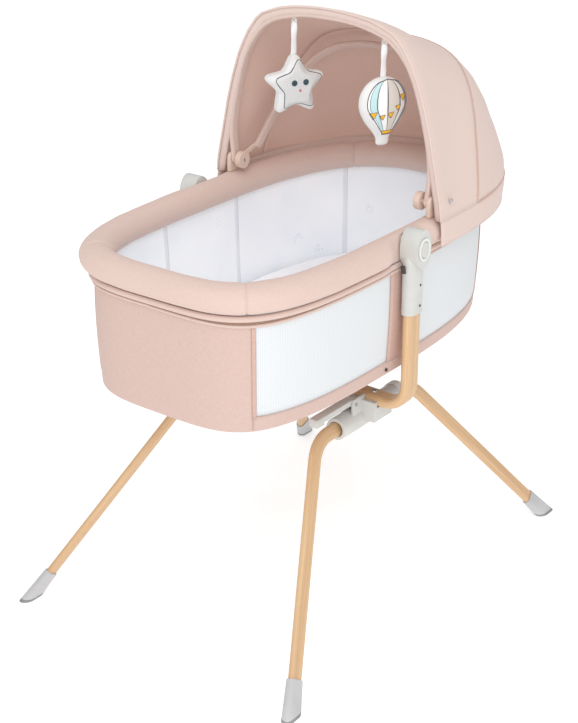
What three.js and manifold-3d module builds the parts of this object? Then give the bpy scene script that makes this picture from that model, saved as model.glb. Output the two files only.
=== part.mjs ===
// Bassinet on a folding stand: a rocking basket with a hood, hung between two posts on splayed legs.
// Millimetres, +Z up. X runs from the foot end (-) to the hooded head end (+), Y across the basket.
// The near side is -Y. The origin is on the floor, in the middle of the whole object's plan.
import * as THREE from 'three';
import { ParametricGeometry } from 'three/addons/geometries/ParametricGeometry.js';
import { mergeVertices } from 'three/addons/utils/BufferGeometryUtils.js';
import Module from 'manifold-3d';

// ---- Clearances ----
const GAP = 0.3; // between faces that touch
const RUNNING = 0.35; // radial, round a turning pin
const TUBE_WALL = 1.6; // of every steel tube
const SWING_GAP = 2; // between the rocking basket and the still pivot heads

// ---- Basket plan: half lengths from the basket's middle, and how square its ends are ----
const BASKET_X = 8; // from the post plane
const RIM = { x: BASKET_X, foot: 397, head: 420, half: 218, footPower: 3.9, headPower: 2.75 };
const RIM_Z = 688.5;
const RIM_HALF_WIDE = 26;
const RIM_HALF_TALL = 25.5;
const RIM_TUBE_R = 7;
const RIM_TUBE_INSET = 4; // the tube lies inside the middle of the padding
const DRAIN_R = 1.5;
const RIM_SLIT = 3; // half width of the zip opening under the padding
const NOTCH_HALF = 37; // the rim is pressed flat beside each post
const BRACKET_HALF = 15;
const BASE_SHORTER = 6; // the walls draw in towards the base
const WALL_OUT = 4; // wall outside the rim's centre line
const WALL_THICK = 3;
const WALL_TALL = 210;
const WALL_TOP = RIM_Z - RIM_HALF_TALL - 2;
const BASE_Z = WALL_TOP - WALL_TALL;
const BASE_CORNER = 14;
const STUD_X = 40; // press studs either side of the post
const BAND_THICK = 2.6;
const BAND_TALL = 9;
const BOARD_THICK = 5;
const MATTRESS_THICK = 36;
const MATTRESS_GAP = 7;

// ---- Hubs ----
const HUB_Y = 147; // leg turning axis from the middle plane
const HUB_Z = 350; // leg turning axis above the floor
const HUB_HALF = 90; // half length along the turning axis
const HUB_WALL = 6;
const COLLAR_LENGTH = 17;
const COLLAR_WALL = 8;
const SADDLE_HALF = 40; // half length across the basket
const SADDLE_WALL = 9;
const SCREW_R = 4;

// ---- Legs: two bent flat-oval tubes, one each side ----
const FOOT_X = 428; // foot centre from the post plane
const FOOT_Y = 303; // foot centre from the middle plane
const LEG_CORNER_X = HUB_HALF + COLLAR_LENGTH + 41; // where the straight leg would meet the turning axis
const LEG_BEND = 70; // bend radius on the centre line
const LEG_WIDTH = 27;
const LEG_THICK = 13;
const CAP_LENGTH = 62;
const CAP_WALL = 2.2;
const CAP_FLARE = 1.22; // how much wider the cap is at the floor
const SOLE_THICK = 4;

// ---- Pivot heads ----
const PIVOT_Z = RIM_Z - 1.5; // rocking axis above the floor
const HEAD_HALF_X = 23;
const HEAD_HALF_Z = 35;
const HEAD_DEPTH = 34;
const SLEEVE_LENGTH = 119; // down the post from the rocking axis
const SLEEVE_BOTTOM = PIVOT_Z - SLEEVE_LENGTH;
const SLEEVE_WALL = 2.8;
const AXLE_R = 7;
const BUTTON_HALF_X = 11;
const BUTTON_HALF_Z = 14.5;
const BUTTON_DEPTH = 7;
const BUTTON_TRAVEL = 3;
const RING_WALL = 5;
const RING_THICK = 2.4;

// ---- Rocking frame: one bent flat-oval tube ----
const POST_Y = RIM.half + 22; // post centre from the middle plane
const BAR_Z = HUB_Z + 36; // cross bar centre above the floor
const BAR_WIDTH = 38; // along X
const BAR_THICK = 20;
const BAR_BEND = 45;
const POST_TOP = PIVOT_Z - HEAD_HALF_Z - 10;

// ---- Swing lock lever, on the near hub ----
const LEVER_LENGTH = 112;
const LEVER_WIDTH = 18;
const LEVER_THICK = 11;
const LEVER_PIN_X = -BAR_WIDTH / 2 - 27;
const LEVER_PIN_R = 3;
const EAR_THICK = 4;

// ---- Hood ----
const HOOD_X = 84; // turning axis of both bows from the post plane
const HOOD_Z = RIM_Z + RIM_HALF_TALL + 25;
const HOOD_CLOTH = 2.5;
const HOOD_FRONT = HOOD_X - 11; // the front edge of the cloth
const HOOD_HALF = RIM.half + 37; // at the hem
const HOOD_BACK = BASKET_X + RIM.head + 39;
const SEAM_FOOT = { x: HOOD_X + 106, z: HOOD_Z - 74 }; // the panel seam on the sides, low end
const SEAM_TOP = { x: HOOD_X + 186, z: HOOD_Z + 226 };
// The hood's cloth from its hem up: height over the axis, and shares of its half width and of its reach.
const HOOD_LEVELS = [
  { up: -73, wide: 1, long: 1 },
  { up: 0, wide: 0.965, long: 0.997 },
  { up: 61, wide: 0.922, long: 0.957 },
  { up: 111, wide: 0.882, long: 0.891 },
  { up: 161, wide: 0.828, long: 0.789 },
  { up: 207, wide: 0.765, long: 0.632 },
  { up: 246, wide: 0.686, long: 0.424 },
  { up: 280, wide: 0.58, long: 0.241 },
  { up: 299, wide: 0.376, long: 0.099 },
];
const HOOD_TOP = HOOD_Z + 308;
const HOOD_POWER = 2.6; // how square the hood's plan is
const BOW_WIDE = 15;
const BOW_THICK = 6;
const CLIP_Y = RIM.half - 2; // inner face of the hood clips
const CLIP_THICK = 8;
// Half of each bow from its foot: share of the bow's half width there, and reach along its plane.
const FRONT_BOW_HALF = CLIP_Y - 4;
const FRONT_BOW = [[1, 0], [1.024, 52], [0.981, 116], [0.854, 206], [0.642, 264], [0.33, 287], [0, 292]];
const MID_BOW_HALF = CLIP_Y - 9;
const MID_BOW = [[1, 40], [0.981, 57], [0.937, 110], [0.874, 150], [0.773, 210], [0.58, 252], [0.319, 270], [0, 274]];
const MID_BOW_FOOT = { x: HOOD_X + 34, z: HOOD_Z - 23 }; // the middle bow leans from here
const MID_BOW_LEAN = 56; // degrees from level
const PIN_R = 5;
const KNOB_R = 16;
const KNOB_DEPTH = 12;
const EYE_R = 10;
const EYE_THICK = 5;

// ---- Toys ----
const STRAP_WIDE = 11;
const STRAP_THICK = 2;
const STAR = { y: 77, strap: 62, radius: 58, thick: 30, turn: -30 };
const BALLOON = { y: -114, strap: 62, half: 46, tall: 122, thick: 36, turn: -30 };

const wasm = await Module();
wasm.setup();
const RIGHT = Math.PI / 2;
const degrees = THREE.MathUtils.degToRad;

// ---- Solids ----

// Keeps only the places of a geometry's vertices, shared, with no empty triangle, and facing out.
function closed(geometry) {
  const plain = geometry.clone();
  plain.deleteAttribute('normal');
  plain.deleteAttribute('uv');
  const merged = mergeVertices(plain, 1e-3);
  const index = Array.from(merged.index.array);
  const kept = [];
  for (let i = 0; i < index.length; i += 3) {
    const [a, b, c] = index.slice(i, i + 3);
    if (a !== b && b !== c && c !== a) kept.push(a, b, c);
  }
  merged.setIndex(signedVolume(merged, kept) < 0 ? kept.reverse() : kept);
  return merged;
}

function signedVolume(geometry, index) {
  const place = geometry.getAttribute('position');
  const corners = [new THREE.Vector3(), new THREE.Vector3(), new THREE.Vector3()];
  let six = 0;
  for (let i = 0; i < index.length; i += 3) {
    corners.forEach((corner, k) => corner.fromBufferAttribute(place, index[i + k]));
    six += corners[0].dot(corners[1].cross(corners[2]));
  }
  return six / 6;
}

function solid(geometry) {
  const shape = closed(geometry);
  const vertProperties = new Float32Array(shape.getAttribute('position').array);
  return new wasm.Manifold(new wasm.Mesh({
    numProp: 3,
    vertProperties,
    triVerts: new Uint32Array(shape.index.array),
  }));
}

function geometryOf(manifold) {
  const mesh = manifold.getMesh();
  const geometry = new THREE.BufferGeometry();
  geometry.setAttribute('position', new THREE.BufferAttribute(new Float32Array(mesh.vertProperties), 3));
  geometry.setIndex(new THREE.BufferAttribute(new Uint32Array(mesh.triVerts), 1));
  return geometry;
}

const joined = (first, ...rest) => rest.reduce((sum, next) => sum.add(solid(next)), solid(first));
const cut = (body, ...tools) => geometryOf(tools.reduce((left, tool) => left.subtract(solid(tool)), body));

function box(x0, x1, y0, y1, z0, z1) {
  const geometry = new THREE.BoxGeometry(x1 - x0, y1 - y0, z1 - z0);
  return geometry.translate((x0 + x1) / 2, (y0 + y1) / 2, (z0 + z1) / 2);
}

// A round bar along X or Y between two places.
function bar(axis, radius, from, to, a, b, sides = 20) {
  const geometry = new THREE.CylinderGeometry(radius, radius, to - from, sides);
  const middle = (from + to) / 2;
  if (axis === 'x') return geometry.rotateZ(RIGHT).translate(middle, a, b);
  return geometry.translate(a, middle, b);
}

// ---- Outlines and sweeps ----

function flatOval(wide, tall, steps = 4) {
  const r = Math.min(wide, tall) / 2;
  const dx = wide / 2 - r;
  const dy = tall / 2 - r;
  const shape = new THREE.Shape();
  const corners = [[dx, dy, 0], [-dx, dy, 1], [-dx, -dy, 2], [dx, -dy, 3]];
  for (const [x, y, quarter] of corners) {
    for (let i = 0; i <= steps; i += 1) {
      const angle = (quarter + i / steps) * RIGHT;
      const px = x + r * Math.cos(angle);
      const py = y + r * Math.sin(angle);
      if (quarter === 0 && i === 0) shape.moveTo(px, py);
      else shape.lineTo(px, py);
    }
  }
  return shape;
}

// A flat-oval tube's section: the outline with its bore.
function tubeSection(wide, tall) {
  const shape = flatOval(wide, tall);
  shape.holes.push(flatOval(wide - 2 * TUBE_WALL, tall - 2 * TUBE_WALL));
  return shape;
}

function ellipse(halfWide, halfTall) {
  const shape = new THREE.Shape();
  shape.absellipse(0, 0, halfWide, halfTall, 0, 2 * Math.PI);
  return shape;
}

// An upright ellipse in the XZ plane, as thick as from one Y to another.
function disc(halfWide, halfTall, y0, y1, z, segments = 12) {
  const options = { depth: y1 - y0, bevelEnabled: false, curveSegments: segments };
  const geometry = new THREE.ExtrudeGeometry(ellipse(halfWide, halfTall), options);
  return geometry.rotateX(RIGHT).translate(0, y1, z);
}

// A run of straight lines and arcs, or a smooth curve, with a section only where it bends.
class Run extends THREE.Curve {
  constructor(stations) {
    super();
    this.stations = stations;
  }

  station(u) {
    return this.stations[Math.round(u * (this.stations.length - 1))];
  }

  getPointAt(u, target = new THREE.Vector3()) {
    return target.copy(this.station(u).place);
  }

  getTangentAt(u, target = new THREE.Vector3()) {
    return target.copy(this.station(u).way);
  }
}

// Straight runs between corners, with every corner rounded to one radius.
function bentRun(corners, radius, arcSteps = 6) {
  const stations = [];
  const way = (from, to) => to.clone().sub(from).normalize();
  stations.push({ place: corners[0], way: way(corners[0], corners[1]) });
  for (let i = 1; i < corners.length - 1; i += 1) {
    const before = way(corners[i - 1], corners[i]);
    const after = way(corners[i], corners[i + 1]);
    const half = before.angleTo(after) / 2;
    const middle = corners[i].clone().addScaledVector(after.clone().sub(before).normalize(), radius / Math.cos(half));
    const start = corners[i].clone().addScaledVector(before, -radius * Math.tan(half)).sub(middle);
    const axis = before.clone().cross(after).normalize();
    for (let k = 0; k <= arcSteps; k += 1) {
      const turn = (2 * half * k) / arcSteps;
      const place = start.clone().applyAxisAngle(axis, turn).add(middle);
      stations.push({ place, way: before.clone().applyAxisAngle(axis, turn) });
    }
  }
  const last = corners.length - 1;
  stations.push({ place: corners[last], way: way(corners[last - 1], corners[last]) });
  return new Run(stations);
}

function sweep(shape, run) {
  return new THREE.ExtrudeGeometry(shape, { steps: run.stations.length - 1, extrudePath: run });
}

// A closed ring: a section of [offset, z] points carried round a plan outline.
function ring(plan, section, steps = 56) {
  const count = section.length;
  const place = (u, v, target) => {
    const [offset, z] = section[Math.round(v * count) % count];
    target.copy(planPoint(plan, u * 2 * Math.PI, offset, z));
  };
  return new ParametricGeometry(place, steps, count);
}

// A solid through loops of equal numbers of points, closed by a middle point at each end.
function stack(loops) {
  const middle = (loop) => {
    const sum = loop.reduce((total, point) => total.add(point), new THREE.Vector3());
    return loop.map(() => sum.clone().divideScalar(loop.length));
  };
  const rows = [middle(loops[0]), ...loops, middle(loops[loops.length - 1])];
  const around = loops[0].length;
  const place = (u, v, target) => {
    target.copy(rows[Math.round(v * (rows.length - 1))][Math.round(u * around) % around]);
  };
  return new ParametricGeometry(place, around, rows.length - 1);
}

function planPoint(plan, angle, offset, z) {
  const c = Math.cos(angle);
  const s = Math.sin(angle);
  const reach = (c < 0 ? plan.foot : plan.head) + offset;
  const power = 2 / (c < 0 ? plan.footPower : plan.headPower);
  const x = plan.x + Math.sign(c) * reach * Math.abs(c) ** power;
  const y = Math.sign(s) * (plan.half + offset) * Math.abs(s) ** power;
  return new THREE.Vector3(x, y, z);
}

function planLoop(plan, offset, z, steps = 56) {
  return Array.from({ length: steps }, (_, i) => planPoint(plan, (i / steps) * 2 * Math.PI, offset, z));
}

// ---- Nodes ----

const FINISH = {
  wood: [0xd9a873, 0.55, 0],
  greyPlastic: [0xc3c3bf, 0.5, 0],
  palePlastic: [0xe6e6e2, 0.45, 0],
  rubber: [0x6a6a6a, 0.9, 0],
  steel: [0xb8b8b8, 0.35, 1],
  pinkCloth: [0xe0bfb3, 0.9, 0],
  whiteCloth: [0xf0f1f3, 0.9, 0],
  creamPlastic: [0xe9d3c2, 0.5, 0],
  board: [0x8f8a83, 0.8, 0],
};

const bassinet = new THREE.Group();

function add(name, finish, geometry, parent = bassinet) {
  const [color, roughness, metalness] = FINISH[finish];
  const shape = closed(geometry);
  shape.computeVertexNormals();
  const mesh = new THREE.Mesh(shape, new THREE.MeshStandardMaterial({ color, roughness, metalness }));
  mesh.name = name;
  parent.add(mesh);
  return mesh;
}

const SIDES = [['near', -1], ['far', 1]];
const ENDS = [['foot', -1], ['head', 1]];

// ---- Legs ----

// Along one leg, down from its corner, in the plane of the bent tube.
const LEG_PLANE_Z = Math.hypot(FOOT_Y - HUB_Y, HUB_Z);
const LEG_TILT = Math.atan2(FOOT_Y - HUB_Y, HUB_Z);
const LEG_WAY = new THREE.Vector3(FOOT_X - LEG_CORNER_X, 0, -LEG_PLANE_Z).normalize();

function legFrame(side) {
  const frame = new THREE.Matrix4().makeRotationX(side * LEG_TILT);
  return frame.setPosition(0, side * HUB_Y, HUB_Z);
}

function legTube() {
  const stop = SOLE_THICK + 22; // the tube ends this far along from the floor, inside its cap
  const foot = new THREE.Vector3(FOOT_X, 0, -LEG_PLANE_Z).addScaledVector(LEG_WAY, -stop);
  const corner = new THREE.Vector3(LEG_CORNER_X, 0, 0);
  const mirror = (point) => new THREE.Vector3(-point.x, 0, point.z);
  const run = bentRun([mirror(foot), mirror(corner), corner, foot], LEG_BEND);
  return sweep(tubeSection(LEG_THICK, LEG_WIDTH), run);
}

// A block along a leg: its section at the floor end and at the top end, in the leg's own plane.
function legBlock(grow, flare, from, to, end) {
  const base = new THREE.Vector3(end * FOOT_X, 0, -LEG_PLANE_Z);
  const way = new THREE.Vector3(-end * LEG_WAY.x, 0, -LEG_WAY.z);
  const across = new THREE.Vector3(way.z, 0, -way.x);
  const outline = flatOval(LEG_WIDTH + 2 * grow, LEG_THICK + 2 * grow).getPoints();
  outline.pop();
  const loop = (along, scale) => outline.map((point) => base.clone()
    .addScaledVector(way, along)
    .addScaledVector(across, point.x * scale)
    .add(new THREE.Vector3(0, point.y * scale, 0)));
  return stack([loop(from, flare), loop((from + to) / 2, (1 + flare) / 2), loop(to, 1)]);
}

function footCap(side, end, low, high) {
  const frame = legFrame(side);
  const outer = legBlock(CAP_WALL + GAP, CAP_FLARE, -20, CAP_LENGTH, end).applyMatrix4(frame);
  const socket = legBlock(GAP, 1, SOLE_THICK + 21, CAP_LENGTH + 20, end).applyMatrix4(frame);
  const reach = 2 * FOOT_X;
  const slab = box(-reach, reach, -reach, reach, low, high);
  return geometryOf(solid(outer).intersect(solid(slab)).subtract(solid(socket)));
}

for (const [sideName, side] of SIDES) {
  const frame = legFrame(side);
  add(`${sideName}_leg_tube`, 'wood', legTube().applyMatrix4(frame));
  for (const [endName, end] of ENDS) {
    add(`${sideName}_${endName}_foot_cap`, 'greyPlastic', footCap(side, end, SOLE_THICK + GAP, HUB_Z));
    add(`${sideName}_${endName}_foot_sole`, 'rubber', footCap(side, end, 0, SOLE_THICK));
  }
}

// ---- Hubs, their collars and screws ----

const HUB_BORE = LEG_WIDTH / 2 + 1;
const HUB_R = HUB_BORE + HUB_WALL;
const BAR_HALF = BAR_WIDTH / 2;
const BAR_LOW = BAR_Z - BAR_THICK / 2;
const BAR_HIGH = BAR_Z + BAR_THICK / 2;

function saddleEars() {
  const y = LEVER_WIDTH / 2 + GAP;
  const out = y + EAR_THICK;
  const x = LEVER_PIN_X - EYE_R;
  const ear = (y0, y1) => box(x, -BAR_HALF, y0 - HUB_Y, y1 - HUB_Y, HUB_Z, BAR_Z + LEVER_THICK);
  return [ear(-out, -y), ear(y, out)];
}

function hub(side) {
  const barrel = bar('x', HUB_R, -HUB_HALF, HUB_HALF, side * HUB_Y, HUB_Z, 32);
  const half = BAR_HALF + SADDLE_WALL;
  const y = [side * HUB_Y - SADDLE_HALF, side * HUB_Y + SADDLE_HALF];
  const saddle = box(-half, half, ...y, HUB_Z, BAR_Z + 2);
  const parts = side < 0 ? [saddle, ...saddleEars()] : [saddle];
  const bore = bar('x', HUB_BORE, -2 * HUB_HALF, 2 * HUB_HALF, side * HUB_Y, HUB_Z, 32);
  const seat = box(-BAR_HALF - GAP, BAR_HALF + GAP, -2 * POST_Y, 2 * POST_Y, BAR_LOW - GAP, 2 * BAR_Z);
  const pin = bar('y', LEVER_PIN_R + GAP, -POST_Y, 0, LEVER_PIN_X, BAR_Z, 16);
  const under = box(-half - 1, half + 1, y[0] - 1, y[1] + 1, 0, HUB_Z - HUB_R);
  return cut(joined(barrel, ...parts), bore, seat, pin, under);
}

function hubCollar(side) {
  const from = HUB_HALF + GAP;
  const outer = bar('x', HUB_BORE + COLLAR_WALL, from, from + COLLAR_LENGTH, side * HUB_Y, HUB_Z, 32);
  return cut(solid(outer), bar('x', HUB_BORE + GAP, 0, 2 * HUB_HALF, side * HUB_Y, HUB_Z, 32));
}

function saddleScrew(y) {
  const head = new THREE.CylinderGeometry(SCREW_R, SCREW_R + 1, 2.5, 16);
  return head.rotateX(RIGHT).translate(0, y, BAR_HIGH + GAP + 1.25);
}

for (const [sideName, side] of SIDES) {
  add(`${sideName}_hub`, 'greyPlastic', hub(side));
  add(`${sideName}_fold_release`, 'palePlastic', hubCollar(side));
  for (const [place, inward] of [['inner', -1], ['outer', 1]]) {
    const y = side * (HUB_Y + (inward * SADDLE_HALF) / 2);
    add(`${sideName}_${place}_saddle_screw`, 'steel', saddleScrew(y));
  }
}

// ---- Swing lock lever ----

function lockLever() {
  const half = LEVER_WIDTH / 2;
  const eye = bar('y', EYE_R - 1, -HUB_Y - half, -HUB_Y + half, LEVER_PIN_X, BAR_Z + 2, 20);
  const tip = LEVER_PIN_X - LEVER_LENGTH;
  const low = BAR_Z - 1;
  const arm = box(tip, LEVER_PIN_X, -HUB_Y - half, -HUB_Y + half, low, low + LEVER_THICK);
  const thumb = box(tip, tip + 22, -HUB_Y - half, -HUB_Y + half, low - 5, low + 1);
  const hole = bar('y', LEVER_PIN_R + RUNNING, -POST_Y, 0, LEVER_PIN_X, BAR_Z, 16);
  return cut(joined(eye, arm, thumb), hole);
}

const earOut = LEVER_WIDTH / 2 + GAP + EAR_THICK + 1;
add('swing_lock_lever', 'greyPlastic', lockLever());
add('lever_pin', 'steel', bar('y', LEVER_PIN_R, -HUB_Y - earOut, -HUB_Y + earOut, LEVER_PIN_X, BAR_Z, 16));

// ---- Rocking frame ----

function rockingFrame() {
  const corner = (y, z) => new THREE.Vector3(0, y, z);
  const run = bentRun([
    corner(-POST_Y, POST_TOP), corner(-POST_Y, BAR_Z), corner(POST_Y, BAR_Z), corner(POST_Y, POST_TOP),
  ], BAR_BEND, 8);
  return sweep(tubeSection(BAR_THICK, BAR_WIDTH), run);
}

add('rocking_frame_tube', 'wood', rockingFrame());

// ---- Pivot heads: one each side, made on the far side and turned for the near side ----

const HEAD_IN = POST_Y - HEAD_DEPTH / 2 + 4; // inner face
const HEAD_OUT = HEAD_IN + HEAD_DEPTH;
const AXLE_END = HEAD_OUT - BUTTON_DEPTH - 4;

function pivotHead() {
  const options = { depth: PIVOT_Z - SLEEVE_BOTTOM, bevelEnabled: false };
  const wide = BAR_WIDTH + 2 * (SLEEVE_WALL + GAP);
  const thick = BAR_THICK + 2 * (SLEEVE_WALL + GAP);
  const sleeve = new THREE.ExtrudeGeometry(flatOval(wide, thick), options);
  sleeve.translate(0, POST_Y, SLEEVE_BOTTOM);
  const head = disc(HEAD_HALF_X, HEAD_HALF_Z, HEAD_IN, HEAD_OUT, PIVOT_Z, 14);
  const depth = POST_TOP + GAP - SLEEVE_BOTTOM + 10;
  const socket = new THREE.ExtrudeGeometry(flatOval(BAR_WIDTH + 2 * GAP, BAR_THICK + 2 * GAP), {
    depth, bevelEnabled: false,
  });
  socket.translate(0, POST_Y, SLEEVE_BOTTOM - 10);
  const bore = bar('y', AXLE_R + RUNNING, 0, AXLE_END + GAP, 0, PIVOT_Z, 32);
  const pocketFrom = HEAD_OUT - BUTTON_TRAVEL - 4;
  const pocket = disc(BUTTON_HALF_X + GAP, BUTTON_HALF_Z + GAP, pocketFrom, 2 * HEAD_OUT, PIVOT_Z);
  return cut(joined(sleeve, head), socket, bore, pocket);
}

function headButton() {
  const from = HEAD_OUT - 3.5;
  return disc(BUTTON_HALF_X, BUTTON_HALF_Z, from, from + BUTTON_DEPTH, PIVOT_Z);
}

function headRing() {
  const outer = disc(BUTTON_HALF_X + RING_WALL + 1, BUTTON_HALF_Z + RING_WALL + 1,
    HEAD_OUT + GAP, HEAD_OUT + GAP + RING_THICK, PIVOT_Z);
  return cut(solid(outer), disc(BUTTON_HALF_X + 1, BUTTON_HALF_Z + 1, 0, 2 * HEAD_OUT, PIVOT_Z));
}

// The bracket clamps the rim's tube, and the axle stands out of it into the head.
const TUBE_Y = RIM.half - RIM_TUBE_INSET;
const BRACKET_OUT = HEAD_IN - SWING_GAP + 0.5;
const BRACKET_IN = TUBE_Y - RIM_TUBE_R - 3;

function hangerBracket() {
  const block = box(-BRACKET_HALF, BRACKET_HALF, BRACKET_IN, BRACKET_OUT, PIVOT_Z - 20, PIVOT_Z + 20);
  return cut(solid(block), bar('x', RIM_TUBE_R + GAP, -60, 60, TUBE_Y, RIM_Z, 16));
}

for (const [sideName, side] of SIDES) {
  const turned = (geometry) => (side < 0 ? geometry.rotateZ(Math.PI) : geometry);
  add(`${sideName}_pivot_head`, 'greyPlastic', turned(pivotHead()));
  add(`${sideName}_head_ring`, 'palePlastic', turned(headRing()));
  add(`${sideName}_release_button`, 'greyPlastic', turned(headButton()));
  add(`${sideName}_hanger_bracket`, 'greyPlastic', turned(hangerBracket()));
  const axle = bar('y', AXLE_R, BRACKET_OUT + GAP, AXLE_END, 0, PIVOT_Z, 32);
  add(`${sideName}_swing_axle`, 'steel', turned(axle));
}

// ---- Basket ----

// The padding wraps the tube from all sides but the slit under it, where it zips closed.
function paddingSection() {
  const outer = [];
  const inner = [];
  const steps = 10;
  const lip = Math.asin(RIM_SLIT / RIM_HALF_WIDE);
  const hole = RIM_TUBE_R + GAP;
  const innerLip = Math.asin(RIM_SLIT / hole);
  for (let i = 0; i <= steps; i += 1) {
    const share = i / steps;
    const a = -RIGHT + lip + share * (2 * Math.PI - 2 * lip);
    const b = -RIGHT + innerLip + share * (2 * Math.PI - 2 * innerLip);
    outer.push([RIM_HALF_WIDE * Math.cos(a), RIM_Z + RIM_HALF_TALL * Math.sin(a)]);
    inner.push([hole * Math.cos(b) - RIM_TUBE_INSET, RIM_Z + hole * Math.sin(b)]);
  }
  return [...outer, ...inner.reverse()];
}

function rimPadding() {
  const padding = solid(ring(RIM, paddingSection()));
  const low = RIM_Z - 2 * RIM_HALF_TALL;
  const high = RIM_Z + 2 * RIM_HALF_TALL;
  const far = 2 * POST_Y;
  const tools = SIDES.flatMap(([, side]) => {
    const span = (from, to) => (side < 0 ? [-to, -from] : [from, to]);
    return [
      box(-NOTCH_HALF, NOTCH_HALF, ...span(HEAD_IN - SWING_GAP, far), low, high),
      box(-BRACKET_HALF - GAP, BRACKET_HALF + GAP, ...span(BRACKET_IN - GAP, far), low, high),
    ];
  });
  return cut(padding, ...tools);
}

// The rim's tube is hollow, with a drain hole under it at the middle of the foot end.
function rimTube() {
  const sides = 8;
  const section = (radius) => Array.from({ length: sides }, (_, i) => {
    const angle = (i / sides) * 2 * Math.PI;
    return [radius * Math.cos(angle) - RIM_TUBE_INSET, RIM_Z + radius * Math.sin(angle)];
  });
  const drain = new THREE.CylinderGeometry(DRAIN_R, DRAIN_R, RIM_TUBE_R, 8).rotateX(RIGHT);
  drain.translate(RIM.x - RIM.foot + RIM_TUBE_INSET, 0, RIM_Z - RIM_TUBE_R);
  return cut(solid(ring(RIM, section(RIM_TUBE_R))), ring(RIM, section(RIM_TUBE_R - TUBE_WALL)), drain);
}

// The cloth body: walls that draw in slightly, a rounded bottom edge and a flat floor.
function basketBody() {
  const top = WALL_OUT;
  const base = WALL_OUT - BASE_SHORTER;
  const outer = [[base - BASE_CORNER, BASE_Z]];
  for (let i = 1; i <= 4; i += 1) {
    const angle = (i / 4) * RIGHT;
    outer.push([base - BASE_CORNER * (1 - Math.sin(angle)), BASE_Z + BASE_CORNER * (1 - Math.cos(angle))]);
  }
  outer.push([top, WALL_TOP]);
  const inner = [[top - WALL_THICK, WALL_TOP], [base - WALL_THICK, BASE_Z + BASE_CORNER]];
  inner.push([base - BASE_CORNER / 2 - WALL_THICK, BASE_Z + WALL_THICK]);
  return stack([...outer, ...inner].map(([offset, z]) => planLoop(RIM, offset, z)));
}

function slab(offset, from, to, round) {
  const levels = [[offset - round, from], [offset, from + round], [offset, to - round], [offset - round, to]];
  return stack(levels.map(([inset, z]) => planLoop(RIM, inset, z)));
}

const WALL_INSIDE = WALL_OUT - BASE_SHORTER - WALL_THICK;
const BOARD_LOW = BASE_Z + WALL_THICK + GAP;
const BOARD_HIGH = BOARD_LOW + BOARD_THICK;
const MATTRESS_LOW = BOARD_HIGH + GAP;
const MATTRESS_HIGH = MATTRESS_LOW + MATTRESS_THICK;

function zipBand() {
  const low = WALL_TOP - BAND_TALL;
  const from = WALL_OUT + GAP;
  return ring(RIM, [[from, low], [from + BAND_THICK, low], [from + BAND_THICK, WALL_TOP], [from, WALL_TOP]]);
}

// A press stud that closes the side strip, low on the wall beside a post.
function wallStud(side, end) {
  const y = RIM.half + WALL_OUT - BASE_SHORTER + GAP + 0.5;
  const span = side < 0 ? [-y - 2, -y] : [y, y + 2];
  return bar('y', 3, ...span, end * STUD_X, BASE_Z + BASE_CORNER + 2, 12);
}

add('rim_tube', 'steel', rimTube());
add('rim_padding', 'pinkCloth', rimPadding());
add('basket_body', 'pinkCloth', basketBody());
add('zip_band', 'pinkCloth', zipBand());
for (const [sideName, side] of SIDES) {
  for (const [endName, end] of ENDS) add(`${sideName}_${endName}_stud`, 'rubber', wallStud(side, end));
}
add('base_board', 'board', slab(WALL_INSIDE - BASE_CORNER / 2 - 3, BOARD_LOW, BOARD_HIGH, 1));
add('mattress', 'whiteCloth', slab(WALL_INSIDE - MATTRESS_GAP, MATTRESS_LOW, MATTRESS_HIGH, 10));

// ---- Hood: cloth in two panels, two bows, and the clips that carry them ----

// One level of the hood: round the back from the near front corner, then straight across the front.
function hoodLoop(half, back, z, front) {
  const around = 22;
  const across = 4;
  const points = [];
  for (let i = 0; i <= around; i += 1) {
    const angle = -RIGHT + (i / around) * Math.PI;
    const c = Math.abs(Math.cos(angle)) ** (2 / HOOD_POWER);
    const s = Math.abs(Math.sin(angle)) ** (2 / HOOD_POWER);
    points.push(new THREE.Vector3(front + (back - front) * c, Math.sign(angle) * half * s, z));
  }
  for (let i = 1; i < across; i += 1) {
    points.push(new THREE.Vector3(front, half * (1 - (2 * i) / across), z));
  }
  return points;
}

function hoodVolume(inset, front, lift) {
  const levels = HOOD_LEVELS.map(({ up, wide, long }) => {
    const back = HOOD_FRONT + (HOOD_BACK - HOOD_FRONT) * long;
    return hoodLoop(HOOD_HALF * wide - inset, back - inset, HOOD_Z + up - lift, front);
  });
  const tip = hoodLoop(1, front + 1, HOOD_TOP - inset, front);
  return stack([...levels, tip]);
}

function hoodShell() {
  const inner = solid(hoodVolume(HOOD_CLOTH, HOOD_FRONT - 20, HOOD_CLOTH));
  return solid(hoodVolume(0, HOOD_FRONT, 0)).subtract(inner);
}

// Everything behind the slanting seam between the hood's panels, shifted along X by some amount.
function behindSeam(shift) {
  const slope = (SEAM_TOP.x - SEAM_FOOT.x) / (SEAM_TOP.z - SEAM_FOOT.z);
  const at = (z) => SEAM_FOOT.x + (z - SEAM_FOOT.z) * slope + shift;
  const shape = new THREE.Shape();
  shape.moveTo(at(0), 0);
  shape.lineTo(2 * RIM.head, 0);
  shape.lineTo(2 * RIM.head, 2 * HOOD_TOP);
  shape.lineTo(at(2 * HOOD_TOP), 2 * HOOD_TOP);
  const wall = new THREE.ExtrudeGeometry(shape, { depth: 4 * POST_Y, bevelEnabled: false });
  return solid(wall.rotateX(RIGHT).translate(0, 2 * POST_Y, 0));
}

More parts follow.
